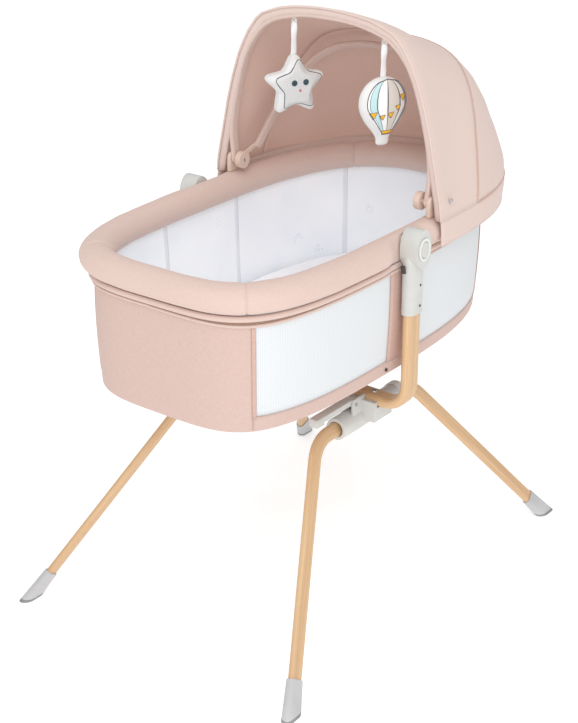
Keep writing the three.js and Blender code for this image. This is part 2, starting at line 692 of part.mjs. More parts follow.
// A bow: the outline of half of it from its foot, mirrored and swept with a flat section.
function bow(outline, half) {
  const near = outline.map(([share, reach]) => new THREE.Vector3(0, -share * half, reach));
  const far = outline.slice(0, -1).reverse().map(([share, reach]) => new THREE.Vector3(0, share * half, reach));
  const curve = new THREE.CatmullRomCurve3([...near, ...far], false, 'centripetal');
  const steps = 26;
  const stations = Array.from({ length: steps + 1 }, (_, i) => (
    { place: curve.getPointAt(i / steps), way: curve.getTangentAt(i / steps) }));
  return sweep(flatOval(BOW_WIDE, BOW_THICK, 3), new Run(stations));
}

const EYE_FRONT = [CLIP_Y - GAP - EYE_THICK - 2, CLIP_Y - GAP];
const EYE_MID = [EYE_FRONT[0] - GAP - EYE_THICK, EYE_FRONT[0] - GAP];
const PIN_IN = EYE_MID[0] - GAP;
const mirrorY = (geometry, side) => (side < 0 ? geometry.scale(1, -1, 1) : geometry);

function frontBow() {
  const arch = bow(FRONT_BOW, FRONT_BOW_HALF).translate(HOOD_X, 0, HOOD_Z);
  const eyes = SIDES.map(([, side]) => mirrorY(bar('y', EYE_R, ...EYE_FRONT, HOOD_X, HOOD_Z, 20), side));
  const hole = bar('y', PIN_R + RUNNING, -POST_Y, POST_Y, HOOD_X, HOOD_Z, 20);
  const wide = HOOD_X + BOW_WIDE;
  const spare = SIDES.flatMap(([, side]) => [[0, EYE_FRONT[0]], [EYE_FRONT[1], POST_Y]].map((span) => (
    mirrorY(box(HOOD_X - BOW_WIDE, wide, ...span, HOOD_Z - 20, HOOD_Z + EYE_R + 2), side))));
  return cut(joined(arch, ...eyes), hole, ...spare);
}

// Where the middle bow starts, and the flat arms that carry it from the clips' pins.
const MID_START = MID_BOW[0][1];
const midLean = degrees(MID_BOW_LEAN);

function midBow() {
  const arch = bow(MID_BOW, MID_BOW_HALF).rotateY(RIGHT - midLean).translate(MID_BOW_FOOT.x, 0, MID_BOW_FOOT.z);
  const endX = MID_BOW_FOOT.x + (MID_START + 6) * Math.cos(midLean);
  const endZ = MID_BOW_FOOT.z + (MID_START + 6) * Math.sin(midLean);
  const length = Math.hypot(endX - HOOD_X, endZ - HOOD_Z);
  const angle = Math.atan2(endZ - HOOD_Z, endX - HOOD_X);
  const arms = SIDES.flatMap(([, side]) => {
    const arm = new THREE.BoxGeometry(length, EYE_MID[1] - EYE_MID[0], 10).translate(length / 2, 0, 0);
    arm.rotateY(-angle).translate(HOOD_X, (EYE_MID[0] + EYE_MID[1]) / 2, HOOD_Z);
    const eye = bar('y', EYE_R, ...EYE_MID, HOOD_X, HOOD_Z, 20);
    return [mirrorY(arm, side), mirrorY(eye, side)];
  });
  const hole = bar('y', PIN_R + RUNNING, -POST_Y, POST_Y, HOOD_X, HOOD_Z, 20);
  return cut(joined(arch, ...arms), hole);
}

function hoodClip() {
  const out = CLIP_Y + CLIP_THICK;
  const foot = RIM_Z + RIM_HALF_TALL + GAP;
  const plate = box(HOOD_X - 12, HOOD_X + 12, CLIP_Y, out, foot, HOOD_Z);
  const round = bar('y', 12, CLIP_Y, out, HOOD_X, HOOD_Z, 24);
  const pin = bar('y', PIN_R, PIN_IN - 1, out - 1, HOOD_X, HOOD_Z, 20);
  return geometryOf(joined(plate, round, pin));
}

function hoodKnob() {
  const cap = bar('y', KNOB_R, PIN_IN - KNOB_DEPTH, PIN_IN, HOOD_X, HOOD_Z, 28);
  return cut(solid(cap), bar('y', PIN_R + GAP, PIN_IN - 1 - GAP, PIN_IN + 9, HOOD_X, HOOD_Z, 20));
}

const shell = hoodShell();
add('hood_front_cloth', 'pinkCloth', geometryOf(shell.subtract(behindSeam(-GAP))));
add('hood_rear_cloth', 'pinkCloth', geometryOf(shell.intersect(behindSeam(0))));
add('hood_front_bow', 'steel', frontBow());
add('hood_mid_bow', 'steel', midBow());
for (const [sideName, side] of SIDES) {
  add(`${sideName}_hood_clip`, 'creamPlastic', mirrorY(hoodClip(), side));
  add(`${sideName}_hood_knob`, 'creamPlastic', mirrorY(hoodKnob(), side));
}

// ---- Toys, each hung by a strap from the front bow ----

// Height of the front bow's underside at some distance from the middle.
function bowUnderside(y) {
  const at = Math.abs(y) / FRONT_BOW_HALF;
  const i = FRONT_BOW.findIndex(([share]) => share <= at);
  const [y0, z0] = FRONT_BOW[i];
  const [y1, z1] = FRONT_BOW[i - 1];
  const reach = z0 + ((at - y0) / (y1 - y0)) * (z1 - z0);
  return HOOD_Z + reach - BOW_THICK / 2;
}

function strap(toy) {
  const top = bowUnderside(toy.y) - 1.5;
  return box(HOOD_X - STRAP_THICK / 2, HOOD_X + STRAP_THICK / 2,
    toy.y - STRAP_WIDE / 2, toy.y + STRAP_WIDE / 2, top - toy.strap, top);
}

function placeToy(geometry, toy) {
  const top = bowUnderside(toy.y) - 1.5 - toy.strap - GAP;
  return geometry.rotateZ(degrees(toy.turn)).translate(HOOD_X, toy.y, top);
}

// A five-pointed cushion with its top point at the origin, its face towards -Y before it is turned.
function star() {
  const shape = new THREE.Shape();
  const tips = 5;
  for (let i = 0; i < 2 * tips; i += 1) {
    const r = STAR.radius * (i % 2 === 0 ? 1 : 0.56);
    const angle = RIGHT + (i * Math.PI) / tips;
    const [x, y] = [r * Math.cos(angle), r * Math.sin(angle)];
    if (i === 0) shape.moveTo(x, y);
    else shape.lineTo(x, y);
  }
  const bevel = STAR.thick / 3;
  const options = {
    depth: STAR.thick - 2 * bevel, bevelThickness: bevel, bevelSize: bevel, bevelOffset: -bevel, bevelSegments: 2,
  };
  const body = new THREE.ExtrudeGeometry(shape, options);
  return body.rotateX(RIGHT).translate(0, STAR.thick / 2 - bevel, -STAR.radius);
}

// A flattened drop with a small basket under it, its top at the origin.
function balloon() {
  const outline = [new THREE.Vector2(0, -BALLOON.tall)];
  outline.push(new THREE.Vector2(BALLOON.half * 0.26, -BALLOON.tall));
  outline.push(new THREE.Vector2(BALLOON.half * 0.32, -BALLOON.tall + 22));
  const centre = -BALLOON.half;
  for (let i = 0; i <= 8; i += 1) {
    const angle = -degrees(38) + (i / 8) * degrees(128);
    const r = i === 8 ? 0 : BALLOON.half * Math.cos(angle);
    outline.push(new THREE.Vector2(r, centre + BALLOON.half * Math.sin(angle)));
  }
  const body = new THREE.LatheGeometry(outline, 24).rotateX(RIGHT);
  return body.scale(1, BALLOON.thick / (2 * BALLOON.half), 1);
}

add('star_strap', 'whiteCloth', strap(STAR));
add('star_toy', 'whiteCloth', placeToy(star(), STAR));
add('balloon_strap', 'whiteCloth', strap(BALLOON));
add('balloon_toy', 'whiteCloth', placeToy(balloon(), BALLOON));

// ---- The origin goes to the middle of the whole plan ----

const bounds = new THREE.Box3().setFromObject(bassinet);
bassinet.position.x = -(bounds.min.x + bounds.max.x) / 2;

export default bassinet;
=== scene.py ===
"""A rocking bassinet: a cloth basket with a folding hood, hung between two posts on folding splayed legs.

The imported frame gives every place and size. This script makes the cloth, padding, tubes, trim and toys round it.
Lengths are in metres. +X is the hooded head end, -Y the near side with the lock lever, and +Z is up.
"""
import logging
import math
from dataclasses import dataclass
from enum import Enum
from typing import Callable, Iterable, Optional, Sequence

import bmesh
import bpy
from mathutils import Matrix, Vector, noise


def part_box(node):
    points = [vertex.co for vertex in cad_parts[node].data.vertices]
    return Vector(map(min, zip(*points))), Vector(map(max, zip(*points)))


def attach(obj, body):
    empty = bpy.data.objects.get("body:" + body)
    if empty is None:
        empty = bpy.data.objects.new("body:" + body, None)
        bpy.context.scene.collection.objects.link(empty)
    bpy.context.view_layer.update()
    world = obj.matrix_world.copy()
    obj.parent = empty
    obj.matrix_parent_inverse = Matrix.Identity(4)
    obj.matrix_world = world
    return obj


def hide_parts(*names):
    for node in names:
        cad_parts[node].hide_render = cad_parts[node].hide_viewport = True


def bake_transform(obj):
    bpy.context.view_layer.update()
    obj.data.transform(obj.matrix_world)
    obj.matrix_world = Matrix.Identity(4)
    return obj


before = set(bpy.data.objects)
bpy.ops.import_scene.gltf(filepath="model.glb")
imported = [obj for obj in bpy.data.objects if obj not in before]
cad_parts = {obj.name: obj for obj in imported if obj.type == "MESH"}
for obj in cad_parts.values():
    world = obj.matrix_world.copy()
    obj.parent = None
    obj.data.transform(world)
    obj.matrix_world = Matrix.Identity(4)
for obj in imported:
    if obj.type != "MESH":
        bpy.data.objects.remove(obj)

log = logging.getLogger("bassinet")
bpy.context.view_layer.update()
MM = 0.001
SIDES = (("near", -1), ("far", 1))
ENDS = (("foot", -1), ("head", 1))
Rows = Sequence[Sequence[Vector]]


# ---------------------------------------------------------------- small sums


def centre(node: str) -> Vector:
    """Returns the middle of a frame node's box."""
    low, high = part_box(node)
    return (low + high) / 2


def mix(a: float, b: float, share: float) -> float:
    """Returns the value a share of the way from a to b."""
    return a + (b - a) * share


def smooth_step(low: float, high: float, value: float) -> float:
    """Returns 0 below low, 1 above high, and an even slope between."""
    share = min(1.0, max(0.0, (value - low) / (high - low)))
    return share * share * (3 - 2 * share)


def bump_at(value: float, place: float, width: float) -> float:
    """Returns 1 at a place, falling to 0 about a width away from it."""
    return math.exp(-(((value - place) / width) ** 2))


def spread(start: float, end: float, count: int) -> list[float]:
    """Returns count values from start to end, evenly spread."""
    return [mix(start, end, i / (count - 1)) for i in range(count)]


def catmull(points: Sequence[Vector], steps: int) -> list[Vector]:
    """Runs a smooth curve through points.

    Args:
        points: The places that the curve passes.
        steps: How many points are made for each span.

    Returns:
        The curve's points, with both ends.
    """
    ends = [2 * points[0] - points[1], *points, 2 * points[-1] - points[-2]]
    made = []
    for i in range(len(points) - 1):
        p0, p1, p2, p3 = ends[i : i + 4]
        for k in range(steps):
            t = k / steps
            made.append(0.5 * (2 * p1 + (p2 - p0) * t + (2 * p0 - 5 * p1 + 4 * p2 - p3) * t**2
                               + (3 * p1 - p0 - 3 * p2 + p3) * t**3))
    return [*made, points[-1].copy()]


def edge_distance(outline: Sequence[Vector], x: float, y: float) -> float:
    """Measures how far a point lies from a closed outline.

    Args:
        outline: The outline's corners, in order.
        x: The point's first coordinate.
        y: The point's second coordinate.

    Returns:
        The distance, below zero inside the outline.
    """
    point, nearest, inside = Vector((x, y)), 1e9, False
    for a, b in zip(outline, [*outline[1:], outline[0]]):
        along = b - a
        share = min(1.0, max(0.0, (point - a).dot(along) / along.length_squared))
        nearest = min(nearest, (point - a - along * share).length)
        if (a.y > y) != (b.y > y) and x < a.x + (y - a.y) * along.x / along.y:
            inside = not inside
    return -nearest if inside else nearest


# ---------------------------------------------------------------- materials


def colour(hex_value: str) -> tuple[float, float, float, float]:
    """Turns an sRGB hex colour to linear values with full alpha."""
    parts = [int(hex_value[i : i + 2], 16) / 255 for i in (1, 3, 5)]
    linear = [p / 12.92 if p <= 0.04045 else ((p + 0.055) / 1.055) ** 2.4 for p in parts]
    return (*linear, 1.0)


def add_node(tree: bpy.types.NodeTree, kind: str, links: Optional[dict] = None,
             values: Optional[dict] = None, **settings: object) -> bpy.types.Node:
    """Adds one shader node.

    Args:
        tree: The material's node tree.
        kind: The node's type, without the leading ShaderNode.
        links: Input socket name or number to the output socket that feeds it.
        values: Input socket name or number to its own value.
        settings: The node's properties.

    Returns:
        The new node.
    """
    made = tree.nodes.new("ShaderNode" + kind)
    for name, value in settings.items():
        setattr(made, name, value)
    for name, value in (values or {}).items():
        made.inputs[name].default_value = value
    for name, source in (links or {}).items():
        tree.links.new(source, made.inputs[name])
    return made


def fill_ramp(node: bpy.types.Node, stops: Sequence[tuple[float, str]], constant: bool = False) -> None:
    """Sets a colour ramp's stops from (place, hex colour) pairs."""
    ramp = node.color_ramp
    ramp.interpolation = "CONSTANT" if constant else "LINEAR"
    while len(ramp.elements) < len(stops):
        ramp.elements.new(0.5)
    for element, (place, hex_value) in zip(ramp.elements, stops):
        element.position = place
        element.color = colour(hex_value)


class Pattern(Enum):
    """Where a finish's pattern takes its coordinates from."""

    BODY = "Object"
    SURFACE = "UV"


@dataclass(frozen=True)
class Finish:
    """A material's common values, which each kind of finish adds its own pattern to."""

    name: str
    light: str
    dark: str
    roughness: float = 0.8
    sheen: float = 0.0
    metallic: float = 0.0
    specular: float = 0.5
    pattern: Pattern = Pattern.BODY
    painted_glow: float = 0.0  # painted light: emission that makes the cloth glow a little, lifting its shaded inside and flattening its shading

    def make(self) -> bpy.types.Material:
        """Makes the material, or returns it if it is there already."""
        found = bpy.data.materials.get(self.name)
        if found:
            return found
        material = bpy.data.materials.new(self.name)
        material.use_nodes = True
        tree = material.node_tree
        shader = tree.nodes["Principled BSDF"]
        shader.inputs["Roughness"].default_value = self.roughness
        shader.inputs["Metallic"].default_value = self.metallic
        shader.inputs["Specular IOR Level"].default_value = self.specular
        shader.inputs["Sheen Weight"].default_value = self.sheen
        shader.inputs["Sheen Roughness"].default_value = 0.45
        place = add_node(tree, "TexCoord").outputs[self.pattern.value]
        self.dress(tree, shader, place)
        # Painted light: the base colour also feeds emission, so the piece glows though it is no lamp.
        if self.painted_glow:
            tree.links.new(shader.inputs["Base Color"].links[0].from_socket, shader.inputs["Emission Color"])
            shader.inputs["Emission Strength"].default_value = self.painted_glow
        return material

    def dress(self, tree: bpy.types.NodeTree, shader: bpy.types.Node, place: bpy.types.NodeSocket) -> None:
        """Adds the pattern. Each kind of finish has its own."""
        raise NotImplementedError


def set_bump(tree: bpy.types.NodeTree, shader: bpy.types.Node, height: bpy.types.NodeSocket,
             depth_mm: float, strength: float = 1.0) -> None:
    """Feeds a height pattern of a real depth to the shader's normal."""
    bump = add_node(tree, "Bump", {"Height": height}, {"Strength": strength, "Distance": depth_mm * MM})
    tree.links.new(bump.outputs["Normal"], shader.inputs["Normal"])


@dataclass(frozen=True)
class Melange(Finish):
    """Polyester cloth woven from mixed yarns: short lighter and darker dashes run along both threads."""

    thread_mm: float = 1.6  # a real thread is 0.4 mm, drawn this coarse so that it shows
    contrast: float = 1.0

    def dress(self, tree, shader, place) -> None:
        """Crosses two stretched noises for the yarns, and adds a thread bump."""
        across = self.threads(tree, place, (1.0, 9.0, 9.0))
        down = self.threads(tree, place, (9.0, 1.0, 1.0))
        crossed = add_node(tree, "Math", {0: across, 1: down}, operation="ADD")
        half = 0.1 * self.contrast
        ramp = add_node(tree, "ValToRGB", {0: add_node(tree, "Math", {0: crossed.outputs[0]}, {1: 0.5},
                                                      operation="MULTIPLY").outputs[0]})
        fill_ramp(ramp, [(0.5 - half * 1.4, self.dark), (0.5 + half * 1.4, self.light)])
        tree.links.new(ramp.outputs["Color"], shader.inputs["Base Color"])
        set_bump(tree, shader, crossed.outputs[0], 0.25, 0.5)

    def threads(self, tree: bpy.types.NodeTree, place: bpy.types.NodeSocket,
                stretch: tuple[float, float, float]) -> bpy.types.NodeSocket:
        """Returns a noise drawn out along one thread direction."""
        scale = 1 / (self.thread_mm * MM)
        sized = [scale / s for s in stretch]
        mapping = add_node(tree, "Mapping", {"Vector": place}, {"Scale": sized})
        grain = add_node(tree, "TexNoise", {"Vector": mapping.outputs[0]}, {"Scale": 1.0, "Detail": 3.0})
        return grain.outputs["Fac"]


@dataclass(frozen=True)
class Net(Finish):
    """White polyester mesh: a knitted net of small round holes, seen against the lining behind it."""

    pitch_mm: float = 3.2  # real holes are about 1.5 mm apart, drawn coarser so that they show

    def dress(self, tree, shader, place) -> None:
        """Lays rows of soft round holes, darker and sunk."""
        mapping = add_node(tree, "Mapping", {"Vector": place}, {"Scale": [1 / (self.pitch_mm * MM)] * 3})
        holes = add_node(tree, "TexVoronoi", {"Vector": mapping.outputs[0]}, {"Scale": 1.0, "Randomness": 0.12},
                         voronoi_dimensions="2D")
        ramp = add_node(tree, "ValToRGB", {0: holes.outputs["Distance"]})
        fill_ramp(ramp, [(0.12, self.dark), (0.42, self.light)])
        tree.links.new(ramp.outputs["Color"], shader.inputs["Base Color"])
        set_bump(tree, shader, holes.outputs["Distance"], 0.4, 0.35)


@dataclass(frozen=True)
class Cotton(Finish):
    """Plain white cotton with a fine soft grain, and faint grey sprigs printed here and there."""

    sprigs: float = 0.0
    motif: str = "#C9CDD2"
    grain_mm: float = 2.0

    def dress(self, tree, shader, place) -> None:
        """Adds soft cloth shading, and the sprigs where they are wanted."""
        grain = add_node(tree, "TexNoise", {"Vector": place}, {"Scale": 1 / (self.grain_mm * MM), "Detail": 4.0})
        soft = add_node(tree, "TexNoise", {"Vector": place}, {"Scale": 9.0, "Detail": 2.0})
        ramp = add_node(tree, "ValToRGB", {0: soft.outputs["Fac"]})
        fill_ramp(ramp, [(0.35, self.dark), (0.65, self.light)])
        out = ramp.outputs["Color"]
        if self.sprigs:
            out = self.printed(tree, place, out)
        tree.links.new(out, shader.inputs["Base Color"])
        set_bump(tree, shader, grain.outputs["Fac"], 0.2, 0.5)

    def printed(self, tree: bpy.types.NodeTree, place: bpy.types.NodeSocket,
                ground: bpy.types.NodeSocket) -> bpy.types.NodeSocket:
        """Returns the ground colour with ring-shaped sprigs about 70 mm apart."""
        cells = add_node(tree, "TexVoronoi", {"Vector": place}, {"Scale": 14.0, "Randomness": 0.8})
        petals = add_node(tree, "TexVoronoi", {"Vector": place}, {"Scale": 120.0, "Randomness": 0.5})
        near = add_node(tree, "Math", {0: cells.outputs["Distance"]}, {1: 0.17}, operation="LESS_THAN")
        ring = add_node(tree, "Math", {0: petals.outputs["Distance"]}, {1: 0.4, 2: 0.07}, operation="COMPARE")
        both = add_node(tree, "Math", {0: near.outputs[0], 1: ring.outputs[0]}, operation="MULTIPLY")
        share = add_node(tree, "Math", {0: both.outputs[0]}, {1: self.sprigs}, operation="MULTIPLY")
        mixed = add_node(tree, "Mix", {0: share.outputs[0], 6: ground}, {7: colour(self.motif)}, data_type="RGBA")
        return mixed.outputs[2]


@dataclass(frozen=True)
class Moulded(Finish):
    """Injection-moulded plastic with a fine spark-eroded texture and a very slight unevenness of tone."""

    grit_mm: float = 0.9  # real grit is 0.1 mm, drawn coarser so that it breaks up the gloss

    def dress(self, tree, shader, place) -> None:
        """Adds the grit and the tone."""
        grit = add_node(tree, "TexNoise", {"Vector": place}, {"Scale": 1 / (self.grit_mm * MM), "Detail": 2.0})
        tone = add_node(tree, "TexNoise", {"Vector": place}, {"Scale": 22.0, "Detail": 3.0})
        ramp = add_node(tree, "ValToRGB", {0: tone.outputs["Fac"]})
        fill_ramp(ramp, [(0.3, self.dark), (0.7, self.light)])
        tree.links.new(ramp.outputs["Color"], shader.inputs["Base Color"])
        set_bump(tree, shader, grit.outputs["Fac"], 0.05, 0.35)


@dataclass(frozen=True)
class WoodFilm(Finish):
    """Steel tube under a satin film printed like beech: fine darker lines and short flecks along the tube."""

    line_mm: float = 2.6

    def dress(self, tree, shader, place) -> None:
        """Draws lines along the tube, broad bands of tone, and flecks."""
        scale = 1 / (self.line_mm * MM)
        lines = self.drawn_out(tree, place, scale, scale / 60, 4.0)
        bands = self.drawn_out(tree, place, scale / 5, scale / 160, 2.0)
        flecks = self.drawn_out(tree, place, scale * 1.4, scale / 7, 1.0)
        both = add_node(tree, "Math", {0: lines, 1: bands}, operation="ADD")
        ramp = add_node(tree, "ValToRGB", {0: add_node(tree, "Math", {0: both.outputs[0]}, {1: 0.5},
                                                      operation="MULTIPLY").outputs[0]})
        fill_ramp(ramp, [(0.38, self.dark), (0.62, self.light)])
        spots = add_node(tree, "Math", {0: flecks}, {1: 0.69}, operation="GREATER_THAN")
        share = add_node(tree, "Math", {0: spots.outputs[0]}, {1: 0.4}, operation="MULTIPLY")
        mixed = add_node(tree, "Mix", {0: share.outputs[0], 6: ramp.outputs["Color"]},
                         {7: colour("#BE9065")}, data_type="RGBA")
        tree.links.new(mixed.outputs[2], shader.inputs["Base Color"])
        set_bump(tree, shader, lines, 0.05, 0.4)

    def drawn_out(self, tree: bpy.types.NodeTree, place: bpy.types.NodeSocket, around: float, along: float,
                  detail: float) -> bpy.types.NodeSocket:
        """Returns a noise stretched along the tube, which is the second way of its map."""
        mapping = add_node(tree, "Mapping", {"Vector": place}, {"Scale": [around, along, around]})
        grain = add_node(tree, "TexNoise", {"Vector": mapping.outputs[0]}, {"Scale": 1.0, "Detail": detail})
        return grain.outputs["Fac"]


@dataclass(frozen=True)
class Metal(Finish):
    """Plain drawn or zinc-plated steel with faint brushing."""

    def dress(self, tree, shader, place) -> None:
        """Adds the brushing."""
        mapping = add_node(tree, "Mapping", {"Vector": place}, {"Scale": [40.0, 1800.0, 1800.0]})
        lines = add_node(tree, "TexNoise", {"Vector": mapping.outputs[0]}, {"Scale": 1.0, "Detail": 2.0})
        ramp = add_node(tree, "ValToRGB", {0: lines.outputs["Fac"]})
        fill_ramp(ramp, [(0.3, self.dark), (0.7, self.light)])
        tree.links.new(ramp.outputs["Color"], shader.inputs["Base Color"])


@dataclass(frozen=True)
class PrintedPlush(Finish):
    """White plush with a cotton face printed on it. Attributes on the piece say where the print lies, in mm."""

    line: str = "#4A4E55"
    line_mm: float = 0.8
    stripes: tuple[tuple[float, str], ...] = ()
    pennant: str = "#F2B92E"

    def dress(self, tree, shader, place) -> None:
        """Prints the face, its outline and its stripes over the plush."""
        edge = add_node(tree, "Attribute", attribute_name="print_edge").outputs["Fac"]
        ground = self.stripe_colour(tree) if self.stripes else self.flat_colour(tree, self.dark)
        inside = add_node(tree, "Math", {0: edge}, {1: 0.0}, operation="LESS_THAN")
        printed = add_node(tree, "Mix", {0: inside.outputs[0], 7: ground}, {6: colour(self.light)}, data_type="RGBA")
        drawn = printed.outputs[2]
        if self.stripes:
            drawn = self.over(tree, drawn, "pennant", self.pennant)
        outline = add_node(tree, "Math", {0: edge}, {1: 0.0, 2: self.line_mm}, operation="COMPARE")
        final = add_node(tree, "Mix", {0: outline.outputs[0], 6: drawn}, {7: colour(self.line)}, data_type="RGBA")
        tree.links.new(final.outputs[2], shader.inputs["Base Color"])
        pile = add_node(tree, "TexNoise", {"Vector": place}, {"Scale": 900.0, "Detail": 3.0})
        set_bump(tree, shader, pile.outputs["Fac"], 0.3, 0.5)

    def flat_colour(self, tree: bpy.types.NodeTree, hex_value: str) -> bpy.types.NodeSocket:
        """Returns a slightly mottled colour."""
        tone = add_node(tree, "TexNoise", values={"Scale": 60.0})
        ramp = add_node(tree, "ValToRGB", {0: tone.outputs["Fac"]})
        fill_ramp(ramp, [(0.3, hex_value), (0.7, self.light)])
        return ramp.outputs["Color"]

    def stripe_colour(self, tree: bpy.types.NodeTree) -> bpy.types.NodeSocket:
        """Returns the stripes' colours across the print."""
        gore = add_node(tree, "Attribute", attribute_name="gore").outputs["Fac"]
        ramp = add_node(tree, "ValToRGB", {0: gore})
        fill_ramp(ramp, self.stripes, constant=True)
        return ramp.outputs["Color"]

    def over(self, tree: bpy.types.NodeTree, ground: bpy.types.NodeSocket, attribute: str,
             hex_value: str) -> bpy.types.NodeSocket:
        """Returns the ground with a filled and outlined shape drawn where an attribute is below zero."""
        place = add_node(tree, "Attribute", attribute_name=attribute).outputs["Fac"]
        inside = add_node(tree, "Math", {0: place}, {1: 0.0}, operation="LESS_THAN")
        filled = add_node(tree, "Mix", {0: inside.outputs[0], 6: ground}, {7: colour(hex_value)}, data_type="RGBA")
        rim = add_node(tree, "Math", {0: place}, {1: 0.0, 2: 0.45}, operation="COMPARE")
        lined = add_node(tree, "Mix", {0: rim.outputs[0], 6: filled.outputs[2]}, {7: colour(self.line)},
                         data_type="RGBA")
        return lined.outputs[2]


PANEL_CLOTH = Melange("woven_melange_panel", "#D5BDB4", "#C7A99E", 0.9, 0.1, pattern=Pattern.SURFACE,
                      thread_mm=1.1, contrast=1.5)
# A painted glow lifts the shade on the rim padding, the zip lips and the bow sleeves.
SOFT_CLOTH = Melange("woven_melange_soft", "#D9C2B9", "#CFB6AB", 0.88, 0.1, pattern=Pattern.SURFACE,
                     thread_mm=1.1, contrast=1.6, painted_glow=0.04)
HOOD_CLOTH = Melange("woven_melange_hood", "#E0CCC4", "#D7C0B6", 0.88, 0.1, pattern=Pattern.SURFACE,
                     thread_mm=1.1, contrast=1.6)
# Painted shade and painted bounce light: the hood cloth's inner face is a darker, more saturated copy of the hood
# cloth, with a painted glow as well.
HOOD_INSIDE_SHADED = Melange("woven_melange_hood_inside_painted_shade", "#DDC1B5", "#D3B2A4", 0.9, 0.1, pattern=Pattern.SURFACE,
                      thread_mm=1.1, contrast=1.6, painted_glow=0.08)
BINDING = Melange("woven_binding_tape", "#D2B3A8", "#C5A193", 0.85, 0.1, pattern=Pattern.SURFACE, thread_mm=1.0)
ZIP_TAPE = Melange("woven_zip_tape", "#A98C7C", "#8A6F61", 0.8, pattern=Pattern.SURFACE, thread_mm=1.0)
NET = Net("knitted_net", "#E0E3E5", "#CDD1D5", 0.85, 0.05, pattern=Pattern.SURFACE)
# A painted glow on the lining, its tapes and the mattress brightens the shaded inside of the basket.
LINING = Cotton("cotton_lining", "#F2F5F8", "#EAEEF3", 0.9, 0.1, sprigs=0.35, motif="#B9C1CA", painted_glow=0.13)
LINING_TAPE = Cotton("cotton_seam_tape", "#E6E9ED", "#DCE0E6", 0.9, painted_glow=0.1)
MATTRESS = Cotton("printed_cotton", "#F4F6F9", "#EEF1F5", 0.9, 0.1, sprigs=0.4, painted_glow=0.13)
RIBBON = Cotton("satin_ribbon", "#F2F3F3", "#E6E8EA", 0.55, 0.3, grain_mm=0.8)
UNDERSIDE = Melange("woven_base_cloth", "#CFB2A7", "#C1A195", 0.9, pattern=Pattern.BODY)
CAP_PLASTIC = Moulded("moulded_pvc_cap", "#C6C6C7", "#B9B9BB", 0.55)
GREY_PLASTIC = Moulded("moulded_abs_grey", "#D0D0CC", "#C6C6C2", 0.48)
PALE_PLASTIC = Moulded("moulded_abs_pale", "#E6E6E2", "#DDDDD8", 0.42)
CREAM_PLASTIC = Moulded("moulded_abs_cream", "#E4CDBE", "#DABFAF", 0.45)
# Dark plastic for the studs, catches and screws, and painted shade for the hood knobs' slots.
DARK_PLASTIC_AND_SLOT_SHADE = Moulded("moulded_nylon_dark_and_slot_shade", "#4B4744", "#3C3936", 0.5)
RUBBER = Moulded("moulded_rubber", "#9C9C9E", "#88888B", 0.85, specular=0.3)
BEECH = WoodFilm("beech_print_film", "#DAB88F", "#C8A178", 0.42, pattern=Pattern.SURFACE)
STEEL = Metal("zinc_plated_steel", "#C9CBCD", "#AFB1B4", 0.35, metallic=1.0)
BOARD = Moulded("hardboard", "#9B958D", "#86817A", 0.8)
STAR_PLUSH = PrintedPlush("plush_star_print", "#E2E2E1", "#CFD1D2", 0.95, 0.3, line="#565A60", line_mm=0.7)
BALLOON_PLUSH = PrintedPlush(
    "plush_balloon_print", "#E2E2E1", "#CFD1D2", 0.95, 0.3, line="#4F5257", line_mm=0.75,
    stripes=((0.0, "#F4F4F2"), (0.14, "#5B6066"), (0.16, "#BFE0E4"), (0.29, "#5B6066"), (0.31, "#F6F6F5"),
             (0.46, "#5B6066"), (0.48, "#D9D3CB"), (0.66, "#5B6066"), (0.68, "#EDEBE8"), (0.78, "#5B6066"),
             (0.80, "#8E9EA6")))
DARK_THREAD = Moulded("embroidery_dark", "#3E5A66", "#2C3F49", 0.6)
ROSE_THREAD = Moulded("embroidery_rose", "#D98A94", "#C8747F", 0.6)



# ---------------------------------------------------------------- meshes


def object_of(name: str, bm: bmesh.types.BMesh, sharp_deg: float = 50.0) -> bpy.types.Object:
    """Turns a bmesh to a smooth-shaded object at the origin.

    Args:
        name: The piece's name.
        bm: The mesh, which is freed.
        sharp_deg: Edges that turn more than this stay sharp.

    Returns:
        The object, linked to the scene.
    """
    for edge in bm.edges:
        edge.smooth = not (edge.is_manifold and edge.calc_face_angle(0.0) > math.radians(sharp_deg))
    for face in bm.faces:
        face.smooth = True
    mesh = bpy.data.meshes.new(name)
    bm.to_mesh(mesh)
    bm.free()
    made = bpy.data.objects.new(name, mesh)
    bpy.context.scene.collection.objects.link(made)
    return made


def grow_grid(bm: bmesh.types.BMesh, rows: Rows) -> list[list[bmesh.types.BMVert]]:
    """Extrudes a first row of edges through all the other rows, and returns the grid of vertices."""
    line = [bm.verts.new(point) for point in rows[0]]
    for pair in zip(line, line[1:]):
        bm.edges.new(pair)
    grid = [line]
    for row in rows[1:]:
        edges = [bm.edges.get(pair) for pair in zip(line, line[1:])]
        made = bmesh.ops.extrude_edge_only(bm, edges=edges)["geom"]
        fresh = {v for v in made if isinstance(v, bmesh.types.BMVert)}
        line = [next(e.other_vert(v) for e in v.link_edges if e.other_vert(v) in fresh) for v in line]
        for vert, point in zip(line, row):
            vert.co = point
        grid.append(line)
    return grid


def lengths(points: Sequence[Vector]) -> list[float]:
    """Returns the distance travelled at each point of a line."""
    run = [0.0]
    for a, b in zip(points, points[1:]):
        run.append(run[-1] + (b - a).length)
    return run


def map_grid(bm: bmesh.types.BMesh, grid: list[list[bmesh.types.BMVert]], rows: Rows) -> None:
    """Gives every face a UV map in metres: along the rows first, then from row to row."""
    layer = bm.loops.layers.uv.new("Cloth")
    across = lengths(rows[len(rows) // 2])
    down = lengths([row[len(row) // 2] for row in rows])
    place = {vert: (across[j], down[i]) for i, line in enumerate(grid) for j, vert in enumerate(line)}
    for face in bm.faces:
        for loop in face.loops:
            loop[layer].uv = place[loop.vert]


